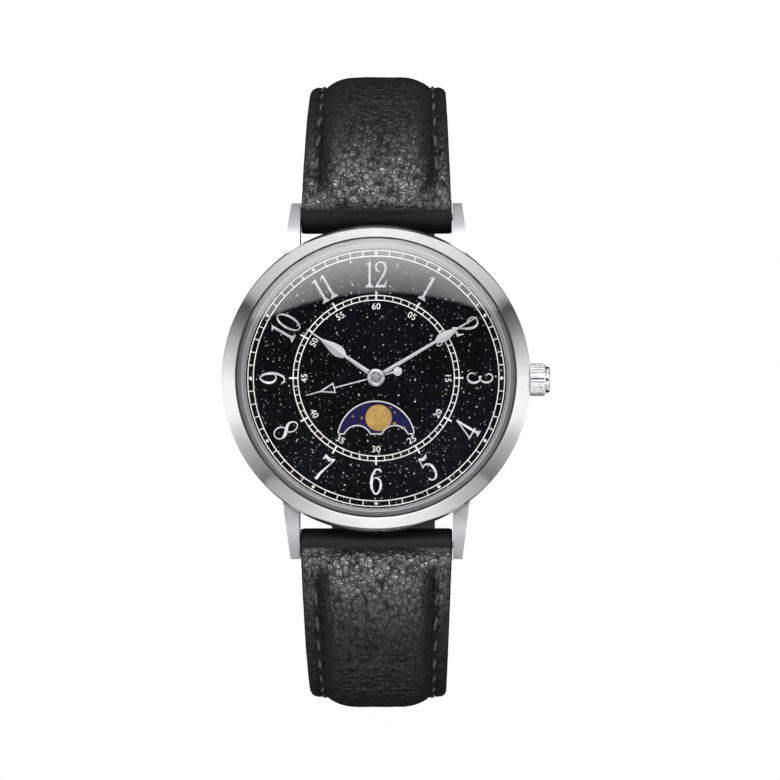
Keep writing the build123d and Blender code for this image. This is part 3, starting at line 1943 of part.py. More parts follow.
def main():
    write("case_body", make_case_body())
    write("bezel", make_bezel())
    write("crystal", make_crystal())
    write("crystal_gasket", make_crystal_gasket())
    write("rehaut_ring", make_rehaut_ring())
    write("case_back", make_case_back())
    write("case_back_gasket", make_case_back_gasket())
    write("crown_tube", make_crown_tube())
    write("crown", make_crown())
    write("crown_gasket", make_crown_gasket())
    write("stem", make_stem())
    write("clutch_wheel", make_clutch_wheel())
    write("setting_lever", make_setting_lever())
    write("setting_wheel", make_setting_wheel())
    write("main_plate", make_main_plate())
    write("dial_side_plate", make_dial_side_plate())
    write("train_bridge", make_train_bridge())
    write("movement_holder", make_movement_holder())
    write("movement_screws", make_movement_screws())
    write("battery", make_battery())
    write("battery_clamp", make_battery_clamp())
    write("coil", make_coil())
    write("coil_core", make_coil_core())
    write("stator", make_stator())
    write("circuit_board", make_circuit_board())
    write("quartz_can", make_quartz_can())
    write("rotor", make_rotor())
    write("intermediate_wheel", make_intermediate_wheel())
    write("seconds_wheel", make_seconds_wheel())
    write("third_wheel", make_third_wheel())
    write("centre_wheel", make_centre_wheel())
    write("cannon_pinion", make_cannon_pinion())
    write("minute_wheel", make_minute_wheel())
    write("hour_wheel", make_hour_wheel())
    write("moon_drive_wheel", make_moon_drive_wheel())
    write("moon_disc", make_moon_disc())
    write("moon_jumper", make_moon_jumper())
    write("dial", make_dial())
    write("moon_window_rim", make_moon_window_rim())
    write("hour_numerals", make_hour_numerals())
    write("hour_hand", make_hour_hand())
    write("minute_hand", make_minute_hand())
    write("seconds_hand", make_seconds_hand())
    bar_half = lug_gap / 2 - bar_end_gap
    reach = bar_tip_length + bar_end_gap
    for name, y in (("upper_spring_bar", lug_bar_y), ("lower_spring_bar", -lug_bar_y)):
        bar = make_spring_bar(bar_radius, y, lug_bar_z, bar_half, bar_tip_radius, reach)
        write(name, bar)
    _, y, z = end_bar_place()
    half = buckle_width / 2 + frame_side_gap - fit_gap
    bar = make_spring_bar(end_bar_radius, y, z, half, bar_tip_radius, bar_tip_length)
    write("buckle_spring_bar", bar)
    for side, pieces in (("upper", upper_strap()), ("lower", lower_strap())):
        for layer, piece in zip(("top", "padding", "lining"), pieces):
            write(f"{side}_strap_{layer}", piece)
    write("fixed_keeper", keeper(fixed_keeper_length))
    write("floating_keeper", keeper(floating_keeper_length))
    write("buckle_frame", make_buckle_frame())
    write("buckle_tongue", make_buckle_tongue())


main()
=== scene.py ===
import json
import math
import random

import bpy
from mathutils import Matrix, Vector, noise


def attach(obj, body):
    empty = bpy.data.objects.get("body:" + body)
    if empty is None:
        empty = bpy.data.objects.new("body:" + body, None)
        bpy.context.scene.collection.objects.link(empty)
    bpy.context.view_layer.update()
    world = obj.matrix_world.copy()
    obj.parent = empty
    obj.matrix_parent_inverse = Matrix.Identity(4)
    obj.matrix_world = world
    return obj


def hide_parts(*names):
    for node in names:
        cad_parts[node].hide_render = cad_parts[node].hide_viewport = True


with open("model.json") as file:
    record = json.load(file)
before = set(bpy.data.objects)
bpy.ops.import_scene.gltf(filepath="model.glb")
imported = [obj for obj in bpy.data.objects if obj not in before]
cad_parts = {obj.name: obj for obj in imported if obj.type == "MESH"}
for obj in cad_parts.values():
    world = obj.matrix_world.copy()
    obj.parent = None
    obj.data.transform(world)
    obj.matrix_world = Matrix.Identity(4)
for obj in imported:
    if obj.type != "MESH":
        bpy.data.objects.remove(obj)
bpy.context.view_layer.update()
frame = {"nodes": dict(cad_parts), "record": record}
MM = 0.001


# ---------------------------------------------------------------- materials


def srgb(code):
    """The linear colour of an sRGB hex value."""
    parts = [int(code[i:i + 2], 16) / 255 for i in (1, 3, 5)]
    return (*[c / 12.92 if c <= 0.04045 else ((c + 0.055) / 1.055) ** 2.4 for c in parts], 1.0)


def add(tree, kind, inputs=None, **settings):
    """One node with its settings, its values and its links; a hex string is a colour."""
    node = tree.nodes.new(kind)
    for key, value in settings.items():
        setattr(node, key, value)
    for socket, value in (inputs or {}).items():
        if isinstance(value, bpy.types.NodeSocket):
            tree.links.new(value, node.inputs[socket])
        else:
            node.inputs[socket].default_value = srgb(value) if isinstance(value, str) else value
    return node


def ramp(tree, factor, stops):
    """A colour ramp from (position, hex colour or grey) stops."""
    node = add(tree, "ShaderNodeValToRGB", {0: factor})
    points = node.color_ramp.elements
    while len(points) < len(stops):
        points.new(0.5)
    for point, (place, colour) in zip(points, stops):
        point.position = place
        point.color = srgb(colour) if isinstance(colour, str) else (colour, colour, colour, 1.0)
    return node.outputs[0]


def math_node(tree, operation, first, second=0.0):
    return add(tree, "ShaderNodeMath", {0: first, 1: second}, operation=operation).outputs[0]


def plus(tree, first, second):
    return math_node(tree, "ADD", first, second)


def times(tree, first, second):
    return math_node(tree, "MULTIPLY", first, second)


def vector_node(tree, operation, first, second=(0, 0, 0), output=0):
    """A sum on vectors; its output 1 is the number that a length or a dot product gives."""
    values = {0: first, 1: second}
    return add(tree, "ShaderNodeVectorMath", values, operation=operation).outputs[output]


def map_range(tree, value, inputs=(0.0, 1.0), outputs=(0.0, 1.0), kind="LINEAR"):
    """The value carried from one range to another and held at the ends."""
    limits = zip(("From Min", "From Max", "To Min", "To Max"), (*inputs, *outputs))
    values = {"Value": value, **dict(limits)}
    return add(tree, "ShaderNodeMapRange", values, interpolation_type=kind).outputs[0]


def smooth_step(tree, value, low, high, least=0.0):
    """Eases from the least value at low to 1 at high."""
    return map_range(tree, value, (low, high), (least, 1.0), "SMOOTHSTEP")


def step_mm(tree, length, low, high, least=0.0):
    """The same for a length, between two places in millimetres."""
    return smooth_step(tree, length, low * MM, high * MM, least)


def colour_mix(tree, factor, first, second, blend_type="MIX"):
    """The two colours mixed; of a mix node's sockets, 6 and 7 are its colours."""
    values = {0: factor, 6: first, 7: second}
    settings = {"data_type": "RGBA", "blend_type": blend_type}
    return add(tree, "ShaderNodeMix", values, **settings).outputs[2]


def mix_shaders(tree, share, first, second):
    return add(tree, "ShaderNodeMixShader", {0: share, 1: first, 2: second}).outputs[0]


def show(tree, closure):
    """Makes this the surface that the material shows."""
    output = next(n for n in tree.nodes if n.type == "OUTPUT_MATERIAL")
    tree.links.new(closure, output.inputs["Surface"])


def per_mm(size_mm):
    """The texture scale at which one cell or wave is this many millimetres."""
    return 1.0 / (size_mm * MM)


def scattered(tree, place, size_mm, detail=3.0, roughness=0.55, stretch=(1, 1, 1)):
    """Noise whose cells are about this size."""
    mapped = add(tree, "ShaderNodeMapping", {"Vector": place, "Scale": stretch}).outputs[0]
    values = {"Scale": per_mm(size_mm), "Detail": detail, "Roughness": roughness}
    return add(tree, "ShaderNodeTexNoise", {"Vector": mapped, **values}).outputs[0]


def lathe_lines(tree, radius, size_mm, detail, roughness=0.5):
    """Concentric lines of about this width, from the distance to the watch's axis."""
    values = {"Scale": per_mm(size_mm), "Detail": detail, "Roughness": roughness}
    return add(
        tree, "ShaderNodeTexNoise", {"W": radius, **values}, noise_dimensions="1D"
    ).outputs[0]


def voronoi(tree, place, size_mm, more=None, **settings):
    """The outputs of a pattern of cells, each about this size."""
    values = {"Vector": place, "Scale": per_mm(size_mm), **(more or {})}
    return add(tree, "ShaderNodeTexVoronoi", values, **settings).outputs


def radius_of(tree, place):
    """Distance from the watch's axis, for turned and concentric marks."""
    flat = vector_node(tree, "MULTIPLY", place, (1, 1, 0))
    return vector_node(tree, "LENGTH", flat, output=1)


def started(name, base, metallic, roughness, **more):
    """A material with its shader's own constants set."""
    material = bpy.data.materials.new(name)
    material.use_nodes = True
    tree = material.node_tree
    shader = tree.nodes["Principled BSDF"]
    shader.inputs["Base Color"].default_value = srgb(base)
    shader.inputs["Metallic"].default_value = metallic
    shader.inputs["Roughness"].default_value = roughness
    for socket, value in more.items():
        shader.inputs[socket.replace("_", " ")].default_value = value
    place = add(tree, "ShaderNodeTexCoord").outputs["Object"]
    return material, tree, shader, place


def paint(tree, shader, colour):
    tree.links.new(colour, shader.inputs["Base Color"])


def blend_colour(tree, shader, factor, stops):
    paint(tree, shader, ramp(tree, factor, stops))


def colour_with_painted_shade(tree, shader, factor, stops, reach_mm):
    """Colour from a pattern, with painted shade from ambient occlusion darkening corners and
    the gaps between ribs.
    """
    values = {"Distance": reach_mm * MM}
    shade = add(tree, "ShaderNodeAmbientOcclusion", values, samples=6).outputs["AO"]
    # Painted shade: the colour is darkened where the occlusion is strong
    dark = ramp(tree, shade, [(0.35, 0.03), (0.9, 1.0)])
    paint(tree, shader, colour_mix(tree, 1.0, ramp(tree, factor, stops), dark, "MULTIPLY"))


def vary_roughness(tree, shader, factor, low, high):
    spread = map_range(tree, factor, outputs=(low, high))
    tree.links.new(spread, shader.inputs["Roughness"])


def bump(tree, shader, height, depth_mm, strength=1.0):
    """Relief of this depth from a height between 0 and 1."""
    values = {"Height": height, "Distance": depth_mm * MM, "Strength": strength}
    relief = add(tree, "ShaderNodeBump", values).outputs[0]
    tree.links.new(relief, shader.inputs["Normal"])
    return relief


def polished_steel():
    """Mirror-polished 316L steel: bright, with faint wiping marks in the reflections."""
    material, tree, shader, place = started("polished_stainless_steel", "#F1F1F2", 1.0, 0.1)
    smear = scattered(tree, place, 2.4, 4.0)
    blend_colour(tree, shader, smear, [(0.3, "#EDEDEE"), (0.7, "#F6F6F6")])
    vary_roughness(tree, shader, smear, 0.07, 0.14)
    bump(tree, shader, scattered(tree, place, 0.6, 2.0), 0.001, 0.25)
    return material


def fluted_steel():
    """Polished steel of the crown: bright ribs, with painted shade darkening the grooves
    between them.
    """
    material, tree, shader, place = started("polished_fluted_steel", "#DCDCDD", 1.0, 0.16)
    smear = scattered(tree, place, 0.8, 3.0)
    # Painted shade in the grooves between the ribs
    colour_with_painted_shade(tree, shader, smear, [(0.3, "#CFCFD0"), (0.7, "#E4E4E5")], 0.3)
    vary_roughness(tree, shader, smear, 0.12, 0.22)
    return material


def satin_steel():
    """Brushed 316L steel: fine straight lines that spread each highlight sideways."""
    material, tree, shader, place = started("brushed_stainless_steel", "#B4B5B7", 1.0, 0.4)
    lines = scattered(tree, place, 1.2, 4.0, 0.6, stretch=(1, 22, 22))
    blend_colour(tree, shader, lines, [(0.3, "#ACADAF"), (0.7, "#BEBFC1")])
    vary_roughness(tree, shader, lines, 0.34, 0.48)
    bump(tree, shader, lines, 0.003, 0.4)
    return material


def turned_ring_steel():
    """Satin steel ring turned on a lathe: fine concentric lines between grey and pale."""
    material, tree, shader, place = started("turned_satin_ring", "#B4B5B6", 0.35, 0.5)
    line = lathe_lines(tree, radius_of(tree, place), 0.16, 2.0, 0.6)
    blend_colour(tree, shader, line, [(0.35, "#A6A8AA"), (0.65, "#E4E5E6")])
    vary_roughness(tree, shader, line, 0.4, 0.6)
    bump(tree, shader, line, 0.006, 0.4)
    return material


def rhodium_trim():
    """Satined rhodium plate: soft white metal of the moon window's rim."""
    material, tree, shader, place = started("satin_rhodium_plate", "#D0D1D2", 0.85, 0.42)
    grain = scattered(tree, place, 0.12, 2.0)
    # Painted shade darkens its corners
    colour_with_painted_shade(tree, shader, grain, [(0.3, "#C4C5C6"), (0.7, "#DADBDC")], 0.25)
    vary_roughness(tree, shader, grain, 0.36, 0.48)
    bump(tree, shader, grain, 0.002, 0.3)
    return material


def hand_trim(name, degrees):
    """Rhodium plate on a hand ground to a ridge; the hand points this far round from 12."""
    material, tree, shader, place = started(name, "#B8B9BB", 0.92, 0.3)
    grain = scattered(tree, place, 0.12, 2.0)
    blend_colour(tree, shader, grain, [(0.3, "#ABACAE"), (0.7, "#C2C3C5")])
    vary_roughness(tree, shader, grain, 0.24, 0.34)
    angle = math.radians(degrees)
    across = (math.cos(angle), -math.sin(angle), 0)
    offset = math_node(tree, "ABSOLUTE", vector_node(tree, "DOT_PRODUCT", place, across, 1))
    ridge = math_node(tree, "SUBTRACT", 1.0, map_range(tree, offset, (0.0, MM)))
    radius = radius_of(tree, place)
    arm = step_mm(tree, radius, 0.95, 1.15)
    # Rings turned on the hub: a pin in the middle, a groove and a rounded edge
    pin_and_groove = [(0.0, 0.9), (0.17, 0.85), (0.25, 0.45), (0.34, 0.45), (0.42, 0.9)]
    rounded_edge = [(0.6, 1.0), (1.0, 0.3)]
    reach = map_range(tree, radius, (0.0, 1.2 * MM))
    rings = ramp(tree, reach, pin_and_groove + rounded_edge)
    hub = times(tree, math_node(tree, "SUBTRACT", 1.0, arm), rings)
    bump(tree, shader, plus(tree, times(tree, ridge, arm), times(tree, hub, 0.6)), 0.34)
    return material


def applied_numeral():
    """Polished rhodium plate on the applied numerals, whose faces are slightly rounded."""
    material, tree, shader, place = started("polished_rhodium_plate", "#D2D3D4", 0.85, 0.4)
    wave = scattered(tree, place, 0.5, 2.0)
    # Painted shade darkens the corners of the strokes
    colour_with_painted_shade(tree, shader, wave, [(0.3, "#B4B5B7"), (0.7, "#D6D7D8")], 0.25)
    vary_roughness(tree, shader, wave, 0.34, 0.44)
    bump(tree, shader, wave, 0.05, 1.0)
    return material


def mineral_glass():
    """Clear hardened mineral glass: sharp faint reflections, no tint, a trace of haze."""
    material, tree, shader, place = started(
        "domed_mineral_glass", "#FFFFFF", 0.0, 0.0, Transmission_Weight=1.0, IOR=1.5
    )
    haze = scattered(tree, place, 6.0, 2.0)
    vary_roughness(tree, shader, haze, 0.0, 0.006)
    # Lets lamp light through to the dial, as real glass does
    shadow = add(tree, "ShaderNodeLightPath").outputs["Is Shadow Ray"]
    clear = add(tree, "ShaderNodeBsdfTransparent").outputs[0]
    show(tree, mix_shaders(tree, shadow, shader.outputs[0], clear))
    return material


def dial_lacquer():
    """Black lacquer, deep and wet like glass, with pale specks of cold tints in it."""
    material, tree, shader, place = started(
        "starry_black_lacquer", "#0A0B0E", 0.0, 0.07, Coat_Weight=0.5, Coat_Roughness=0.02
    )
    cloud = scattered(tree, place, 9.0, 3.0)
    deep = ramp(
        tree, cloud, [(0.35, "#020303"), (0.47, "#040606"), (0.58, "#06070D"), (0.7, "#030404")]
    )
    wander = scattered(tree, place, 0.22, 1.0)
    light = 0.0
    # Three sizes of specks, up to 0.15 mm across, about three to a square millimetre
    for cell_mm, largest, seed in ((0.92, 0.088, 0.0), (0.62, 0.07, 7.3), (1.9, 0.045, 3.1)):
        shifted = vector_node(tree, "ADD", place, (seed, seed * 0.37, 0))
        cells = voronoi(tree, shifted, cell_mm, voronoi_dimensions="2D")
        tone = add(tree, "ShaderNodeSeparateColor", {0: cells["Color"]}).outputs
        size = map_range(tree, tone[0], (0.25, 1.0), (0.0, largest))
        rim, core = times(tree, size, 0.62), times(tree, size, 0.36)
        inside = map_range(tree, times(tree, cells["Distance"], wander), (rim, core))
        bright = map_range(tree, tone[1], outputs=(0.25, 1.0))
        light = math_node(tree, "MAXIMUM", light, times(tree, inside, bright))
    tint = ramp(tree, cloud, [(0.3, "#E8EEF4"), (0.5, "#FFFFFF"), (0.7, "#E9F2E6")])
    paint(tree, shader, colour_mix(tree, light, deep, tint))
    return material


def printed_ink():
    """White pad-printed ink: opaque, slightly raised and not quite even."""
    material, tree, shader, place = started("white_printed_ink", "#EDEDEA", 0.0, 0.5)
    blotch = scattered(tree, place, 0.3, 2.0)
    blend_colour(tree, shader, blotch, [(0.3, "#DFDFDC"), (0.7, "#F6F6F3")])
    bump(tree, shader, blotch, 0.003, 0.4)
    return material


def moon_enamel():
    """Navy enamel print: satin, deep blue with a violet drift."""
    material, tree, shader, place = started(
        "navy_disc_print", "#141140", 0.0, 0.32, Specular_IOR_Level=0.12
    )
    drift = scattered(tree, place, 1.4, 3.0)
    blend_colour(tree, shader, drift, [(0.3, "#110E3C"), (0.6, "#1A1756"), (0.75, "#221C60")])
    return material


def gold_print():
    """Gold printed moon: matt ochre gold with a cloudy surface like the real moon's."""
    material, tree, shader, place = started("matt_gold_print", "#B69042", 0.1, 0.5)
    patch = scattered(tree, place, 0.8, 4.0)
    blend_colour(tree, shader, patch, [(0.3, "#AB8539"), (0.55, "#BA9545"), (0.75, "#C6A85B")])
    bump(tree, shader, patch, 0.004, 0.4)
    return material


def nitrile_rubber():
    """Black nitrile rubber: matt, with a faint moulded grain."""
    material, tree, shader, place = started("black_nitrile_rubber", "#141414", 0.0, 0.62)
    grain = scattered(tree, place, 0.1, 2.0)
    blend_colour(tree, shader, grain, [(0.3, "#101010"), (0.7, "#1C1C1C")])
    bump(tree, shader, grain, 0.004, 0.5)
    return material


def nylon_seal():
    """Milky nylon crystal seal: satin grey under the glass, with a painted shade ring darkening
    its outer edge in the gap by the bezel.
    """
    material, tree, shader, place = started("milky_nylon_seal", "#B9BABA", 0.0, 0.45)
    radius = radius_of(tree, place)
    line = lathe_lines(tree, radius, 0.12, 1.0)
    tone = ramp(tree, line, [(0.35, "#9FA0A1"), (0.65, "#D0D1D1")])
    # Painted shade: a near-black ring past 16.33 mm stands for the shaded gap by the bezel
    painted_gap_shade = step_mm(tree, radius, 16.33, 16.39)
    paint(tree, shader, colour_mix(tree, painted_gap_shade, tone, "#0B0B0C"))
    bump(tree, shader, line, 0.004, 0.4)
    return material


def gilt_brass():
    """Gilt brass wheels: warm yellow with lathe rings and a few darker oxide patches."""
    material, tree, shader, place = started("gilt_turned_brass", "#E0B96A", 1.0, 0.26)
    ring = scattered(tree, place, 0.25, 3.0)
    gilt = ramp(tree, ring, [(0.3, "#CFA352"), (0.7, "#EBCB82")])
    # The centre arbor's pivot is bare steel
    wheel = step_mm(tree, radius_of(tree, place), 0.5, 0.55)
    paint(tree, shader, colour_mix(tree, wheel, "#C9CACC", gilt))
    vary_roughness(tree, shader, ring, 0.2, 0.36)
    bump(tree, shader, ring, 0.002, 0.4)
    return material


def nickel_plate():
    """Bead-blasted nickel-plated brass plates: even frosted grey."""
    material, tree, shader, place = started("frosted_nickel_plate", "#D2D0CA", 1.0, 0.42)
    frost = scattered(tree, place, 0.08, 2.0)
    blend_colour(tree, shader, frost, [(0.3, "#C4C2BC"), (0.7, "#DEDCD6")])
    bump(tree, shader, frost, 0.004, 0.5)
    return material


def acetal():
    """Moulded acetal: milky white, soft gloss."""
    material, tree, shader, place = started("moulded_white_acetal", "#ECECE6", 0.0, 0.38)
    cloud = scattered(tree, place, 2.0, 2.0)
    blend_colour(tree, shader, cloud, [(0.3, "#E6E6E0"), (0.7, "#F2F2EC")])
    bump(tree, shader, scattered(tree, place, 0.15, 1.0), 0.002, 0.4)
    return material


def stamped_can():
    """Nickel-plated stamped steel of the battery can: drawn, with small scuffs."""
    material, tree, shader, place = started("drawn_nickel_steel", "#DADADA", 1.0, 0.22)
    scuff = scattered(tree, place, 0.5, 5.0, 0.7)
    blend_colour(tree, shader, scuff, [(0.3, "#CFCFCF"), (0.7, "#E6E6E6")])
    vary_roughness(tree, shader, scuff, 0.14, 0.34)
    return material


def wound_copper():
    """Enamelled copper wire wound in layers: orange-red turns, drawn coarser to show, with
    painted shade in the grooves between them and painted highlight on their crowns.
    """
    material, tree, shader, place = started("enamelled_copper_winding", "#B8642E", 1.0, 0.3)
    turns = add(
        tree,
        "ShaderNodeTexWave",
        {"Vector": place, "Scale": per_mm(0.12) / math.tau * 2, "Distortion": 0.4},
        bands_direction="X",
    ).outputs[1]
    # Painted shade and highlight: the colour follows each turn's relief, dark in the grooves
    blend_colour(tree, shader, turns, [(0.1, "#7A3A18"), (0.6, "#C9743A"), (1.0, "#E08D4E")])
    bump(tree, shader, turns, 0.02, 0.8)
    return material


def solder_mask():
    """Green solder mask on a glass-fibre board, over a faint pattern of copper tracks."""
    material, tree, shader, place = started("green_solder_mask", "#0F4A2A", 0.0, 0.3)
    values = {"Color1": "#0E4527", "Color2": "#145A34", "Mortar": "#2A7A48"}
    values.update({"Vector": place, "Scale": per_mm(1.0), "Mortar Size": 0.05})
    tracks = add(tree, "ShaderNodeTexBrick", values).outputs[0]
    paint(tree, shader, tracks)
    bump(tree, shader, tracks, 0.01, 0.4)
    return material


def grain_leather():
    """Black pebbled calf: rounded pebbles, half-gloss, with painted shade darkening the creases
    between them and a painted sheen that is strongest on the pad's front.
    """
    material, tree, shader, place = started(
        "black_pebbled_calf", "#121213", 0.0, 0.3, Specular_IOR_Level=1.0, IOR=1.75
    )
    values = {"Vector": place, "Scale": per_mm(1.3), "Detail": 2.0}
    drift = add(tree, "ShaderNodeTexNoise", values).outputs["Color"]
    drift = vector_node(tree, "MULTIPLY", drift, (0.55 * MM, 0.55 * MM, 0.55 * MM))
    warped = vector_node(tree, "ADD", place, drift)
    # Pebbles are 0.45 to 0.8 mm across, with 0.2 mm pores between
    pebble = voronoi(tree, warped, 0.72, {"Smoothness": 0.25}, feature="SMOOTH_F1")["Distance"]
    fine = voronoi(tree, warped, 0.3)["Distance"]
    edge = voronoi(tree, warped, 0.95, feature="DISTANCE_TO_EDGE")["Distance"]
    swell_and_painted_shade = ramp(tree, pebble, [(0.1, 1.0), (0.5, 0.62), (0.78, 0.0)])
    pores = ramp(tree, fine, [(0.2, 1.0), (0.75, 0.0)])
    crease = scattered(tree, warped, 2.6, 4.0, 0.6)
    seams = smooth_step(tree, edge, 0.0, 0.065)
    height = swell_and_painted_shade
    for layer, share in ((pores, 0.28), (crease, 1.4), (seams, 0.4)):
        height = plus(tree, height, times(tree, layer, share))
    # Painted shade: the base colour darkens off the pebbles' crowns into the creases
    blend_colour(
        tree, shader, swell_and_painted_shade, [(0.0, "#080809"), (0.45, "#0E0E0F"), (1.0, "#141415")]
    )
    vary_roughness(tree, shader, swell_and_painted_shade, 0.4, 0.17)
    # The fold round the spring bar is pressed smooth
    x, y, z = add(tree, "ShaderNodeSeparateXYZ", {0: place}).outputs
    aside, reach = math_node(tree, "ABSOLUTE", x), math_node(tree, "ABSOLUTE", y)
    fold = step_mm(tree, reach, 19.9, 21.3)
    below = step_mm(tree, z, -2.0, -4.0)
    grain_and_painted_sheen = math_node(tree, "MAXIMUM", fold, below)
    relief = bump(tree, shader, times(tree, height, grain_and_painted_sheen), 0.2)
    # Painted sheen: the glossy shader shows on the crowns of the grain, and painted shade, a
    # dull dark one, in creases, on the fold and in patches between the crowns
    patch = scattered(tree, warped, 1.7, 3.0)
    painted_sheen = smooth_step(tree, plus(tree, times(tree, swell_and_painted_shade, 0.5), patch), 0.2, 1.0)
    painted_seam_shade = map_range(tree, seams, outputs=(0.45, 1.0))
    # Painted sheen, strongest on the pad's front and fading toward the ends
    away = step_mm(tree, reach, 31.5, 23.0, 0.22)
    # Painted shade in the hollow between the pad's crown and the seam, and painted sheen on the
    # edge roll and the pad's front
    crown = step_mm(tree, aside, 6.3, 4.4)
    painted_edge_sheen = times(tree, step_mm(tree, aside, 7.1, 7.7), 0.6)
    front = step_mm(tree, reach, 23.4, 21.9)
    painted_sheen_places = math_node(tree, "MAXIMUM", math_node(tree, "MAXIMUM", crown, painted_edge_sheen), front)
    painted_sheen_places = map_range(tree, painted_sheen_places, outputs=(0.08, 1.0))
    for share in (painted_seam_shade, away, painted_sheen_places, grain_and_painted_sheen):
        painted_sheen = times(tree, painted_sheen, share)
    # Painted shade: a dull, darker shader for the creases and the shaded places
    values = {"Base Color": "#0D0D0E", "Roughness": 0.5, "Specular IOR Level": 0.17}
    painted_shade_dull = add(tree, "ShaderNodeBsdfPrincipled", {**values, "Normal": relief}).outputs[0]
    show(tree, mix_shaders(tree, painted_sheen, painted_shade_dull, shader.outputs[0]))
    return material


def lining_leather():
    """Dark brown calf lining: smooth and matt, with pores and a little darkening in patches."""
    material, tree, shader, place = started("dark_calf_lining", "#1F1916", 0.0, 0.58)
    patch = scattered(tree, place, 5.0, 4.0)
    pores = ramp(tree, voronoi(tree, place, 0.35)["Distance"], [(0.0, 0.0), (0.5, 1.0)])
    blend_colour(tree, shader, patch, [(0.3, "#191412"), (0.55, "#201A17"), (0.75, "#282019")])
    bump(tree, shader, pores, 0.03, 0.5)
    return material


def wool_felt():
    """Pressed felt filler: fuzzy charcoal fibres."""
    material, tree, shader, place = started("charcoal_felt", "#2C2C2D", 0.0, 0.9)
    fibre = scattered(tree, place, 0.18, 4.0, 0.7, stretch=(1, 5, 1))
    blend_colour(tree, shader, fibre, [(0.3, "#1E1E1F"), (0.7, "#3D3D3F")])
    bump(tree, shader, fibre, 0.05, 0.7)
    return material


def waxed_thread():
    """Black waxed polyester thread: twisted strands that catch small bright points."""
    material, tree, shader, place = started("waxed_black_thread", "#2A2A2C", 0.0, 0.34)
    twist = scattered(tree, place, 0.16, 2.0)
    blend_colour(tree, shader, twist, [(0.3, "#242425"), (0.7, "#505053")])
    bump(tree, shader, twist, 0.05, 0.9)
    return material


# ---------------------------------------------------------------- modelling

# Edges flatter than this many degrees are shaded round, on prints and on soft pieces
HARD_ANGLE = 35
SOFT_ANGLE = 60


def activate(*pieces):
    """Selects these pieces alone, or nothing, and makes the first the active one."""
    bpy.ops.object.select_all(action="DESELECT")
    for piece in pieces:
        piece.select_set(True)
    if pieces:
        bpy.context.view_layer.objects.active = pieces[0]


def editing(select="SELECT"):
    """Opens the active piece to edit its faces, with all of them selected, or none."""
    bpy.ops.object.mode_set(mode="EDIT")
    bpy.ops.mesh.select_mode(type="FACE")
    if select:
        bpy.ops.mesh.select_all(action=select)


def done_editing():
    bpy.ops.object.mode_set(mode="OBJECT")


def apply_place(*pieces):
    activate(*pieces)
    bpy.ops.object.transform_apply(location=True, rotation=True, scale=True)


def outward(piece):
    """Welds double points and turns every face outward."""
    activate(piece)
    editing()
    bpy.ops.mesh.remove_doubles(threshold=1e-7)
    bpy.ops.mesh.normals_make_consistent(inside=False)
    done_editing()


def joined(pieces):
    activate(*pieces)
    bpy.ops.object.join()
    return bpy.context.view_layer.objects.active


def copied_at(base, places):
    """Copies of one modelled shape, each with its own mesh, joined into one piece."""
    copies = []
    for place in places:
        copy = base.copy()
        copy.data = base.data.copy()
        bpy.context.collection.objects.link(copy)
        copy.matrix_world = place
        copies.append(copy)
    bpy.data.objects.remove(base, do_unlink=True)
    apply_place(*copies)
    return joined(copies)


def finished(piece, name, material, body, angle=HARD_ANGLE):
    """Names a piece, smooths its round sides, dresses it and lets it ride."""
    piece.name = name
    piece.data.name = name
    activate(piece)
    bpy.ops.object.shade_smooth_by_angle(angle=math.radians(angle))
    piece.data.materials.clear()
    piece.data.materials.append(material)
    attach(piece, body)


def flat_disc(radius, height, sides):
    activate()
    bpy.ops.mesh.primitive_circle_add(
        vertices=sides, radius=radius * MM, fill_type="NGON", location=(0, 0, height * MM)
    )
    return bpy.context.view_layer.objects.active


def extrude_up(rise):
    bpy.ops.mesh.extrude_region_move(TRANSFORM_OT_translate={"value": (0, 0, rise * MM)})


def flat_ring(inner, outer, low, high, sides):
    """A printed ring: a disc inset, its middle removed, then raised."""
    ring = flat_disc(outer, low, sides)
    editing()
    bpy.ops.mesh.inset(thickness=(outer - inner) * MM)
    bpy.ops.mesh.delete(type="FACE")
    bpy.ops.mesh.select_all(action="SELECT")
    extrude_up(high - low)
    done_editing()
    apply_place(ring)
    outward(ring)
    return ring


def turned_disc(radius, low, thickness):
    """A printed disc with its upper edge softened."""
    disc = flat_disc(radius, low, 96)
    editing()
    extrude_up(thickness * 0.6)
    bpy.ops.mesh.inset(thickness=thickness * MM)
    bpy.ops.transform.translate(value=(0, 0, thickness * 0.4 * MM))
    done_editing()
    apply_place(disc)
    outward(disc)
    return disc


def bar_mark(width, length, low, high):
    """A short printed line lying along Y, from its centre, with softened top edges."""
    activate()
    bpy.ops.mesh.primitive_cube_add(size=MM, location=(0, 0, (low + high) / 2 * MM))
    mark = bpy.context.view_layer.objects.active
    mark.scale = (width, length, high - low)
    apply_place(mark)
    editing("DESELECT")
    done_editing()
    for face in mark.data.polygons:
        face.select = face.normal.z > 0.9
    editing(select=None)
    bpy.ops.mesh.inset(thickness=(high - low) * 0.4 * MM)
    done_editing()
    return mark


def turned_about_z(angle):
    return Matrix.Rotation(angle, 4, "Z")


def on_dial(radius, clock_degrees):
    """A place on the dial, turned so its Y points outward; degrees run clockwise from 12."""
    turn = turned_about_z(-math.radians(clock_degrees))
    return turn @ Matrix.Translation((0, radius * MM, 0))


# ---------------------------------------------------------------- finishes

ink = printed_ink()
gold = gold_print()
calf = grain_leather()
lining = lining_leather()
felt = wool_felt()
thread = waxed_thread()

slot_finish = {
    "satin_steel": satin_steel(),
    "polished_steel": polished_steel(),
    "crystal": mineral_glass(),
    "gasket": nitrile_rubber(),
    "train_brass": gilt_brass(),
    "plate_metal": nickel_plate(),
    "white_plastic": acetal(),
    "cell_steel": stamped_can(),
    "copper_wire": wound_copper(),
    "board": solder_mask(),
    "moon_print": moon_enamel(),
    "dial_lacquer": dial_lacquer(),
    "silver_trim": rhodium_trim(),
    "black_leather": calf,
    "lining_leather": lining,
    "pad_felt": felt,
}
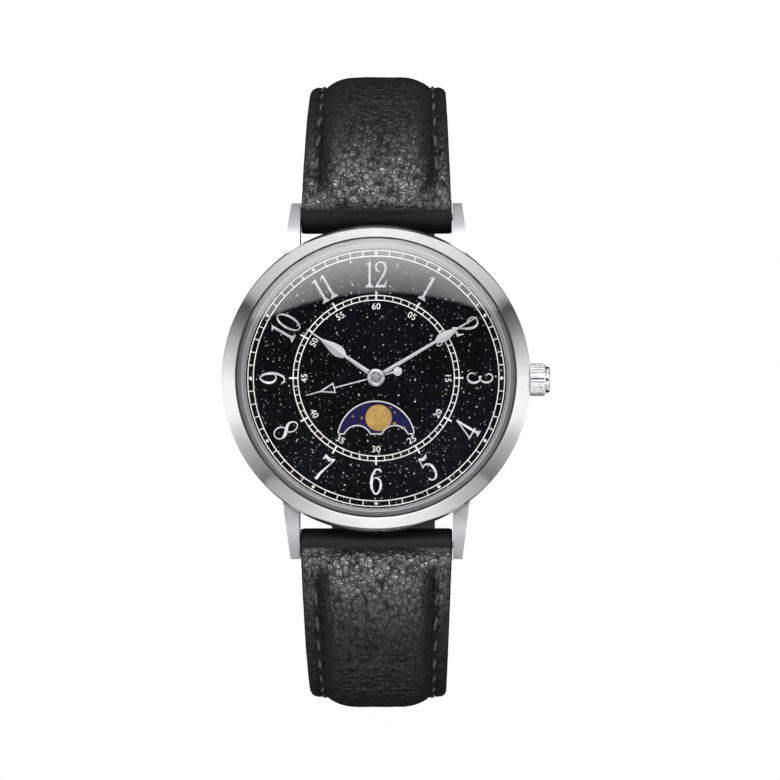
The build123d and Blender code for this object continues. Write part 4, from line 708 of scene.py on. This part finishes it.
# The hands' directions are those of the rest pose, in degrees clockwise from 12
own_finish = {
    "rehaut_ring": turned_ring_steel(),
    "crystal_gasket": nylon_seal(),
    "crown": fluted_steel(),
    "hour_hand": hand_trim("ridged_hour_hand_plate", 305.0),
    "minute_hand": hand_trim("ridged_minute_hand_plate", 59.0),
    "seconds_hand": hand_trim("ridged_seconds_hand_plate", 255.4),
    "hour_numerals": applied_numeral(),
}
for part in frame["record"]["subparts"]:
    node = frame["nodes"][part["node"]]
    for index in range(len(node.material_slots)):
        dress = own_finish.get(part["node"], slot_finish[part["material_slot"]])
        node.material_slots[index].material = dress

# ---------------------------------------------------------------- dial prints

# The dial's upper face and the top of what is printed on it
DIAL_TOP = 5.55
INK_TOP = 5.575
# The minutes that have a bar of their own, between the hours
MINUTES = [minute for minute in range(60) if minute % 5]


def printed_rings(spans, sides):
    return [flat_ring(inner, outer, DIAL_TOP, INK_TOP, sides) for inner, outer in spans]


def printed_bars(width, length, radius, clock_degrees):
    bar = bar_mark(width, length, DIAL_TOP, INK_TOP)
    return copied_at(bar, [on_dial(radius, degrees) for degrees in clock_degrees])


def minute_track():
    """The outer railway track: two rings, a bar at each minute and a diamond at each hour."""
    middle = 14.73
    pieces = printed_rings([(14.34, 14.46), (15.0, 15.12)], 300)
    pieces.append(printed_bars(0.11, 0.62, middle, [6 * minute for minute in MINUTES]))
    diamond = bar_mark(0.3, 0.3, DIAL_TOP, INK_TOP + 0.005)
    shape = Matrix.Diagonal((1.0, 1.15, 1.0, 1.0)) @ turned_about_z(math.radians(45))
    hours = [on_dial(middle, 30 * hour) @ shape for hour in range(12)]
    pieces.append(copied_at(diamond, hours))
    finished(joined(pieces), "outer_minute_track", ink, "case")


def second_track():
    """The inner railway track, with longer and thicker bars at the hours."""
    pieces = printed_rings([(9.1, 9.22), (9.66, 9.78)], 240)
    pieces.append(printed_bars(0.1, 0.5, 9.44, [6 * minute for minute in MINUTES]))
    pieces.append(printed_bars(0.2, 1.06, 9.68, [30 * hour for hour in range(12)]))
    finished(joined(pieces), "inner_seconds_track", ink, "case")


def minute_figures():
    """The small figures inside the inner track, upright at the top and turned at the foot."""
    pieces = []
    for hour in range(12):
        activate()
        bpy.ops.object.text_add(location=(0, 0, 0))
        text = bpy.context.view_layer.objects.active.data
        text.body = f"{hour * 5 if hour else 60:02d}"
        text.size = 1.04 * MM
        text.space_character = 1.02
        text.offset = 0.008 * MM
        text.align_x = "CENTER"
        text.align_y = "CENTER"
        text.extrude = (INK_TOP - DIAL_TOP) / 2 * MM
        text.resolution_u = 4
        bpy.ops.object.convert(target="MESH")
        figure = bpy.context.view_layer.objects.active
        figure.matrix_world = (
            Matrix.Translation((0, 0, (DIAL_TOP + INK_TOP) / 2 * MM))
            @ on_dial(8.38, 30 * hour)
            @ turned_about_z(math.pi if 4 <= hour <= 8 else 0.0)
        )
        apply_place(figure)
        pieces.append(figure)
    figures = joined(pieces)
    outward(figures)
    finished(figures, "small_minute_figures", ink, "case")


minute_track()
second_track()
minute_figures()

# ---------------------------------------------------------------- moon disc prints

MOON_CENTRE = (0, -7.26 * MM, 0)
MOON_TOP = 5.07


def on_moon_disc(radius, degrees):
    """A place on the disc; degrees run counter-clockwise from 12."""
    turn = turned_about_z(math.radians(degrees))
    return Matrix.Translation(MOON_CENTRE) @ turn @ Matrix.Translation((0, radius * MM, 0))


def gold_moons():
    """The disc's two moons, opposite each other; one stands in the window, 6.4 degrees on."""
    pieces = []
    for degrees in (-6.4, 173.6):
        disc = turned_disc(1.54, MOON_TOP, 0.02)
        disc.matrix_world = on_moon_disc(2.65, degrees)
        apply_place(disc)
        pieces.append(disc)
    finished(joined(pieces), "gold_moon_prints", gold, "moon")


def gold_stars():
    """Small four-pointed stars round the moons, each a little turned."""
    star = flat_disc(0.29, MOON_TOP, 8)
    apply_place(star)
    for vertex in star.data.vertices:
        if vertex.index % 2:
            vertex.co.x *= 0.3
            vertex.co.y *= 0.3
    editing()
    extrude_up(0.015)
    done_editing()
    outward(star)
    rng = random.Random(11)
    # Each star's degrees clockwise from 12, its distance from the disc's axis and its size
    spots = [(-56, 2.6, 1.0), (-69, 3.5, 0.8), (-44, 3.9, 0.7), (-33, 3.1, 0.8), (48, 2.9, 1.1)]
    spots += [(34, 3.9, 0.7), (66, 3.6, 0.8), (24, 4.2, 0.6)]
    spots += [(degrees + 180, radius, size) for degrees, radius, size in spots]
    spots += [(90, 2.2, 1.0), (270, 2.2, 1.0), (100, 3.8, 0.8), (262, 3.8, 0.8)]
    places = [
        on_moon_disc(radius, -degrees)
        @ turned_about_z(rng.uniform(0, 0.8))
        @ Matrix.Diagonal((size, size, 1.0, 1.0))
        for degrees, radius, size in spots
    ]
    finished(copied_at(star, places), "gold_star_prints", gold, "moon")


gold_moons()
gold_stars()

# ---------------------------------------------------------------- strap

# The strap's path in millimetres: from the spring bar round a bend, straight down, and round
# a second bend under the case. The last three are the lengths where each stretch ends
BAR_Y = 19.6013
BAR_Z = 2.3
BEND = 16.2
DROP = 28.7
LOW_BEND = 12.0
BEND_END = BEND * math.pi / 2
DROP_END = BEND_END + DROP
LOW_END = DROP_END + LOW_BEND * math.pi / 2

# The leather lies between these heights above the path, and the felt's edge reaches 1.4
LEATHER_LOW = 1.0
LEATHER_TOP = 2.0

# The pad: how far in from the edge it begins, and where along the strap it falls and ends
PAD_RIM = 1.95
PAD_FALL = 24.0
PAD_END = 36.0

# How far in from the edge the stitches stand, and how far apart
STITCH_INSET = 1.62
STITCH_PITCH = 2.9


def strap_place(s, away, side):
    """The point at a length s along the strap's path and a height above it, and its outward."""
    if s <= 0:
        return Vector((0, side * (BAR_Y + s), BAR_Z + away)), Vector((0, 0, 1))
    if s <= BEND_END:
        turn = s / BEND
        out = Vector((0, side * math.sin(turn), math.cos(turn)))
        return Vector((0, side * BAR_Y, BAR_Z - BEND)) + out * (BEND + away), out
    if s <= DROP_END:
        out = Vector((0, side, 0))
        place = Vector((0, side * (BAR_Y + BEND), BAR_Z - BEND - (s - BEND_END)))
        return place + out * away, out
    turn = min((s - DROP_END) / LOW_BEND, math.pi / 2)
    out = Vector((0, side * math.cos(turn), -math.sin(turn)))
    run = max(s - LOW_END, 0)
    place = Vector((0, side * (BAR_Y + BEND - LOW_BEND - run), BAR_Z - BEND - DROP))
    return place + out * (LOW_BEND + away), out


def strap_measure(point, side):
    """The other way round: the length and height of a point, in millimetres."""
    y, z = side * point.y / MM, point.z / MM
    if z >= BAR_Z - BEND:
        if y < BAR_Y:
            return y - BAR_Y, z - BAR_Z
        turn = math.atan2(y - BAR_Y, z - BAR_Z + BEND)
        return BEND * turn, math.hypot(y - BAR_Y, z - BAR_Z + BEND) - BEND
    low_z = BAR_Z - BEND - DROP
    if z >= low_z:
        return BEND_END + BAR_Z - BEND - z, y - BAR_Y - BEND
    low_y = BAR_Y + BEND - LOW_BEND
    if y >= low_y:
        turn = math.atan2(low_z - z, y - low_y)
        return DROP_END + LOW_BEND * turn, math.hypot(y - low_y, z - low_z) - LOW_BEND
    return LOW_END + low_y - y, low_z - z - LOW_BEND


def held(value):
    """The value kept between 0 and 1."""
    return min(max(value, 0.0), 1.0)


def eased(low, high, value):
    t = held((value - low) / (high - low))
    return t * t * (3 - 2 * t)


def pocket_end(side):
    """A wedge that thickens the leather over its pocket's end, where it runs out very thin."""
    half_width = 5.2
    activate()
    bpy.ops.mesh.primitive_cube_add(size=2.0)
    wedge = bpy.context.view_layer.objects.active
    for vertex in wedge.data.vertices:
        # Its top and its underside both fall toward the far end
        near, far = (2.3, 2.08) if vertex.co.z > 0 else (1.85, 1.5)
        s, away = (35.5, far) if vertex.co.y > 0 else (32.0, near)
        place = strap_place(s, away, side)[0] + Vector((vertex.co.x * half_width, 0, 0))
        vertex.co = place * MM
    outward(wedge)
    return wedge


def soft_skin(node, name, voxel_mm, rounds, filled_side=0):
    """The soft part's form as one even skin with its edges rounded off.

    Where a side is given, the thin end of that half's pocket is filled up first.
    """
    skin = bpy.data.objects.new(name, frame["nodes"][node].data.copy())
    bpy.context.collection.objects.link(skin)
    if filled_side:
        joined([skin, pocket_end(filled_side)])
    activate(skin)
    editing()
    bpy.ops.mesh.remove_doubles(threshold=1e-6)
    done_editing()
    even = skin.modifiers.new("even", "REMESH")
    even.mode = "VOXEL"
    even.voxel_size = voxel_mm * MM
    soft = skin.modifiers.new("soft", "SMOOTH")
    soft.factor = 0.5
    soft.iterations = rounds
    for modifier in (even.name, soft.name):
        bpy.ops.object.modifier_apply(modifier=modifier)
    return skin


def half_widths(skin, side, spacing=0.5):
    """The strap's half width at each step of its length, read from its own skin."""
    widths = {}
    for vertex in skin.data.vertices:
        s, away = strap_measure(vertex.co, side)
        if away > LEATHER_LOW + 0.3:
            key = round(s / spacing)
            widths[key] = max(widths.get(key, 0.0), abs(vertex.co.x) / MM)
    return lambda s: widths.get(round(s / spacing), widths.get(round(s / spacing) - 1, 0.0))


def pad_crown(s, inset):
    """The pad's height from 0 to 1: quick off the rim to a wide crown, and off the hem."""
    across = held((inset - PAD_RIM) / 4.0)
    front = held((s - 0.1 - 0.8 * (1 - across)) / 6.0)
    along = (1 - (1 - front) ** 2.2) * (1 - eased(PAD_FALL, PAD_END, s))
    return (1 - (1 - across) ** 2.5) * along


def felt_top(s, inset):
    """How far above the strap's path the felt reaches."""
    return 1.4 + 1.2 * pad_crown(s, inset)


def felt_filler(side, label, width_at):
    """The felt under the leather, kept 0.6 mm below its crown."""
    node = f"{label}_strap_padding"
    skin = soft_skin(node, f"{label}_strap_felt", voxel_mm=0.3, rounds=3)
    for vertex in skin.data.vertices:
        s, away = strap_measure(vertex.co, side)
        over = away - felt_top(s, width_at(s) - abs(vertex.co.x) / MM)
        if over > 0:
            vertex.co -= strap_place(s, 0, side)[1] * over * MM
    finished(skin, skin.name, felt, f"{label}_strap", SOFT_ANGLE)
    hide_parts(node)


def is_underside(place, normal, out, s):
    """Whether this is the pocket for the felt rather than the leather's upper face.

    The pocket's faces look down and inward and, near the bar, away from it.
    """
    along = Vector((1, 0, 0)).cross(out)
    along *= 1 if along.y * place.y > 0 else -1
    lean = normal.dot(out) + 0.8 * math.copysign(normal.x, normal.x * place.x)
    if s < 4:
        lean -= 0.8 * normal.dot(along)
    return lean < 0


def skin_lift(x, s, away, inset, side):
    """How far a point of the leather's upper face is raised, in millimetres."""
    lift = 0.0
    if s < PAD_END + 4:
        wave = noise.noise(Vector((x * 0.5, s * 0.75, side * 3.0)))
        ripple = noise.noise(Vector((x * 0.35, s * 1.9, side * 9.0)))
        crown = pad_crown(s, inset)
        on_pad = eased(PAD_RIM - 0.5, PAD_RIM, inset) * (1 - eased(PAD_END, PAD_END + 4, s))
        lift += (LEATHER_TOP + 1.24 * crown - away) * on_pad
        lift += crown * (0.06 * wave + 0.05 * ripple)
    # The seam is pulled in, most at each stitch
    seam = math.exp(-((inset - STITCH_INSET) / 0.42) ** 2) * eased(1.0, 2.5, s)
    pull = 0.5 + 0.5 * math.cos(math.tau * (s - 1.6) / STITCH_PITCH)
    lift -= seam * (0.1 + 0.1 * pull)
    # The edge is turned over and rolled
    edge = held(1.0 - inset / 1.15)
    lift -= 0.62 * (1 - math.sqrt(1 - edge * edge)) * eased(1.5, 2.2, s)
    rim = eased(0.1, 0.5, inset) * (1 - eased(1.1, 1.5, inset))
    return lift + rim * 0.05 * noise.noise(Vector((side * 5.0, s * 1.4, x)))


def worked_leather(side, label):
    """The strap's top leather: swollen over the pad, pulled in at the seam and creased."""
    node = f"{label}_strap_top"
    skin = soft_skin(node, f"{label}_strap_leather", voxel_mm=0.25, rounds=5, filled_side=side)
    width_at = half_widths(skin, side)
    facing = [vertex.normal.copy() for vertex in skin.data.vertices]
    for vertex, normal in zip(skin.data.vertices, facing):
        x = vertex.co.x / MM
        s, away = strap_measure(vertex.co, side)
        inset = width_at(s) - abs(x)
        out = strap_place(s, 0, side)[1]
        if away < LEATHER_LOW + 0.05 or s < 0.2:
            # The face on the lining and the fold round the spring bar stay as they are
            continue
        if inset > PAD_RIM - 0.5 and s < PAD_END and is_underside(vertex.co, normal, out, s):
            # The pocket's ceiling lies on the felt
            vertex.co += out * min(felt_top(s, inset) + 0.04 - away, 0.0) * MM
        elif away >= LEATHER_LOW + 0.55:
            vertex.co += out * skin_lift(x, s, away, inset, side) * MM
    finished(skin, skin.name, calf, f"{label}_strap", SOFT_ANGLE)
    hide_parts(node)
    return width_at


def stitch_shape():
    """One stitch: a lens of thread that dips at both ends and leans with its twist."""
    half_length = 1.05
    activate()
    bpy.ops.mesh.primitive_uv_sphere_add(segments=10, ring_count=8, radius=MM)
    stitch = bpy.context.view_layer.objects.active
    stitch.scale = (0.21, half_length, 0.19)
    apply_place(stitch)
    for vertex in stitch.data.vertices:
        along = vertex.co.y / (half_length * MM)
        vertex.co.z -= 0.1 * MM * along * along
        vertex.co.x += 0.05 * MM * math.sin(along * 2.4)
    return stitch


def strap_stitches(side, label, start, end, width_at):
    """The two rows of stitches along the edges, between two lengths along the strap."""
    places = []
    rng = random.Random(side + 5)
    for index in range(int((end - start) / STITCH_PITCH) + 1):
        s = start + index * STITCH_PITCH
        place, out = strap_place(s, LEATHER_TOP, side)
        ahead = strap_place(s + 0.2, LEATHER_TOP, side)[0]
        behind = strap_place(s - 0.2, LEATHER_TOP, side)[0]
        along = (ahead - behind).normalized()
        turned = Matrix((along.cross(out), along, out)).transposed().to_4x4()
        for edge in (-1, 1):
            middle = place + Vector((edge * (width_at(s) - STITCH_INSET), 0, 0))
            slant = turned_about_z(math.radians(5 * edge * side + rng.uniform(-5, 5)))
            drawn = Matrix.Diagonal((rng.uniform(0.85, 1.1), rng.uniform(0.82, 1.0), 1.0, 1.0))
            sunk = middle - out * rng.uniform(0.02, 0.08)
            places.append(Matrix.Translation(sunk * MM) @ turned @ slant @ drawn)
    row = copied_at(stitch_shape(), places)
    name = f"{label}_strap_stitches"
    finished(row, name, thread, f"{label}_strap", SOFT_ANGLE)


def soft_copy(node, name, body, material, voxel_mm, rounds):
    """A soft part that needs no more than an even skin."""
    skin = soft_skin(node, name, voxel_mm, rounds)
    finished(skin, name, material, body, SOFT_ANGLE)
    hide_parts(node)


# Each half's side of the watch and where its stitches end
STITCH_START = 3.0
halves = {"upper": (1, 69.0), "lower": (-1, 98.5)}
width_at = {label: worked_leather(side, label) for label, (side, _) in halves.items()}
for label, (side, stitch_end) in halves.items():
    strap_stitches(side, label, STITCH_START, stitch_end, width_at[label])
for label, (side, _) in halves.items():
    felt_filler(side, label, width_at[label])
    soft_copy(
        f"{label}_strap_lining", f"{label}_strap_inside", f"{label}_strap",
        lining, voxel_mm=0.25, rounds=3,
    )
for node, body in (("fixed_keeper", "upper_strap"), ("floating_keeper", "keeper")):
    soft_copy(node, f"{node}_loop", body, calf, voxel_mm=0.16, rounds=4)

# ---------------------------------------------------------------- floor, light and camera


def board_level(tree, x, y):
    """How bright the white boards are round the watch, north being 12 o'clock.

    The turn runs from 0 at 12 o'clock to 1 at 6 o'clock, the same on both sides.
    """
    turn = math_node(tree, "ARCTAN2", math_node(tree, "ABSOLUTE", x), y)
    turn = math_node(tree, "DIVIDE", turn, math.pi)
    boards = [
        (0.0, 1.0), (0.17, 0.78), (0.288, 0.5), (0.318, 0.05), (0.36, 0.2),
        (0.42, 0.6), (0.48, 1.0), (0.56, 1.0), (0.611, 0.55), (0.667, 0.34),
        (0.715, 0.16), (0.73, 0.4), (0.79, 0.52), (0.889, 0.85), (1.0, 1.0),
    ]
    return turn, ramp(tree, turn, boards)


def studio_floor():
    """A white sheet under the strap: white to the camera, with a dark card for reflections."""
    activate()
    bpy.ops.mesh.primitive_plane_add(size=6.0, location=(0, 0, -56.9 * MM))
    floor = bpy.context.view_layer.objects.active
    floor.name = "studio_floor"
    material, tree, shader, place = started("white_paper_sweep", "#F4F4F4", 0.0, 0.8)
    grain = scattered(tree, place, 3.0, 3.0)
    blend_colour(tree, shader, grain, [(0.3, "#F2F2F2"), (0.7, "#F6F6F6")])
    # Polished parts mirror the boards' light from it, past a dark card round the watch
    x, y, _ = add(tree, "ShaderNodeSeparateXYZ", {0: place}).outputs
    card = radius_of(tree, vector_node(tree, "MULTIPLY", place, (1.6, 0.36, 0)))
    lit = times(tree, board_level(tree, x, y)[1], smooth_step(tree, card, 0.07, 0.1))
    lit = plus(tree, lit, 0.02)
    mirrored = add(tree, "ShaderNodeEmission", {"Strength": lit}).outputs[0]
    glow = add(tree, "ShaderNodeEmission", {"Color": "#FFFFFF", "Strength": 1.0}).outputs[0]
    path = add(tree, "ShaderNodeLightPath").outputs
    sheet = mix_shaders(tree, path["Is Glossy Ray"], shader.outputs[0], mirrored)
    sheet = mix_shaders(tree, times(tree, path["Is Camera Ray"], 0.97), sheet, glow)
    # Seen from under it the sheet isn't there
    under = add(tree, "ShaderNodeNewGeometry").outputs["Backfacing"]
    clear = add(tree, "ShaderNodeBsdfTransparent").outputs[0]
    show(tree, mix_shaders(tree, under, sheet, clear))
    floor.data.materials.append(material)


def studio_world():
    """A studio round the watch: white boards north, east, south and west with dark gaps."""
    world = bpy.data.worlds.new("studio")
    bpy.context.scene.world = world
    world.use_nodes = True
    tree = world.node_tree
    ray = add(tree, "ShaderNodeTexCoord").outputs["Generated"]
    x, y, z = add(tree, "ShaderNodeSeparateXYZ", {0: ray}).outputs
    turn, boards = board_level(tree, x, y)
    height = math_node(tree, "MAXIMUM", z, 0.05)
    east = math_node(tree, "DIVIDE", x, height)
    north = math_node(tree, "DIVIDE", y, height)
    # The north board hangs over the watch; its near edge bows toward the middle
    bow = times(tree, times(tree, east, east), 0.81)
    over = smooth_step(tree, plus(tree, north, bow), 0.256, 0.267)
    in_north = smooth_step(tree, turn, 0.345, 0.335)
    # The others end short of the zenith
    rim = map_range(tree, turn, (0.7, 0.85), (0.935, 0.957), "SMOOTHSTEP")
    low = smooth_step(tree, math_node(tree, "SUBTRACT", z, rim), 0.0, -0.02)
    gate = math_node(tree, "MAXIMUM", times(tree, over, in_north), low)
    # The boards are brightest 20 to 40 degrees off the zenith, the north one most
    bright = plus(tree, smooth_step(tree, z, 0.6, 0.76), 1.0)
    strip = times(tree, smooth_step(tree, z, 0.975, 0.93), smooth_step(tree, z, 0.86, 0.9))
    strip = map_range(tree, times(tree, strip, in_north), outputs=(1.0, 6.5))
    level = times(tree, times(tree, boards, gate), times(tree, bright, strip))
    level = plus(tree, level, 0.015)
    from_camera = add(tree, "ShaderNodeLightPath").outputs["Is Camera Ray"]
    back = next(n for n in tree.nodes if n.type == "BACKGROUND")
    tree.links.new(colour_mix(tree, from_camera, level, "#FFFFFF"), back.inputs["Color"])
    back.inputs["Strength"].default_value = 1.0


def overhead_lamp():
    """A broad soft lamp above, so that inks and leather render about as they are written."""
    lamp = bpy.data.lights.new("overhead_soft_lamp", "AREA")
    lamp.shape = "DISK"
    lamp.size = 0.5
    lamp.energy = 0.3
    holder = bpy.data.objects.new("overhead_soft_lamp", lamp)
    holder.location = (0.05, 0.12, 0.75)
    aim = Vector((0, 0, 1)).rotation_difference(holder.location.normalized())
    holder.rotation_euler = aim.to_euler()
    holder.visible_glossy = False
    holder.visible_transmission = False
    bpy.context.collection.objects.link(holder)


def photo_camera():
    """Above the dial, leaning a little toward 6, as far off as the strap's ends tell."""
    lean, tilt = math.radians(4.5), math.radians(0.7)
    # In millimetres: how far off it is, how much it sees there, and the point it looks at
    distance = 400.0
    across = 92.18
    aim = Vector((1.64, -1.43, 6.0))
    camera = bpy.data.cameras.new("photo_camera")
    camera.sensor_width = 36.0
    camera.lens = camera.sensor_width * distance / across
    camera.clip_start = 0.01
    camera.clip_end = 20.0
    holder = bpy.data.objects.new("photo_camera", camera)
    holder.rotation_euler = (lean, tilt, 0)
    toward = holder.rotation_euler.to_matrix() @ Vector((0, 0, 1))
    holder.location = (aim + toward * distance) * MM
    bpy.context.collection.objects.link(holder)
    bpy.context.scene.camera = holder


studio_floor()
studio_world()
overhead_lamp()
photo_camera()
bpy.context.scene.view_settings.view_transform = "Standard"
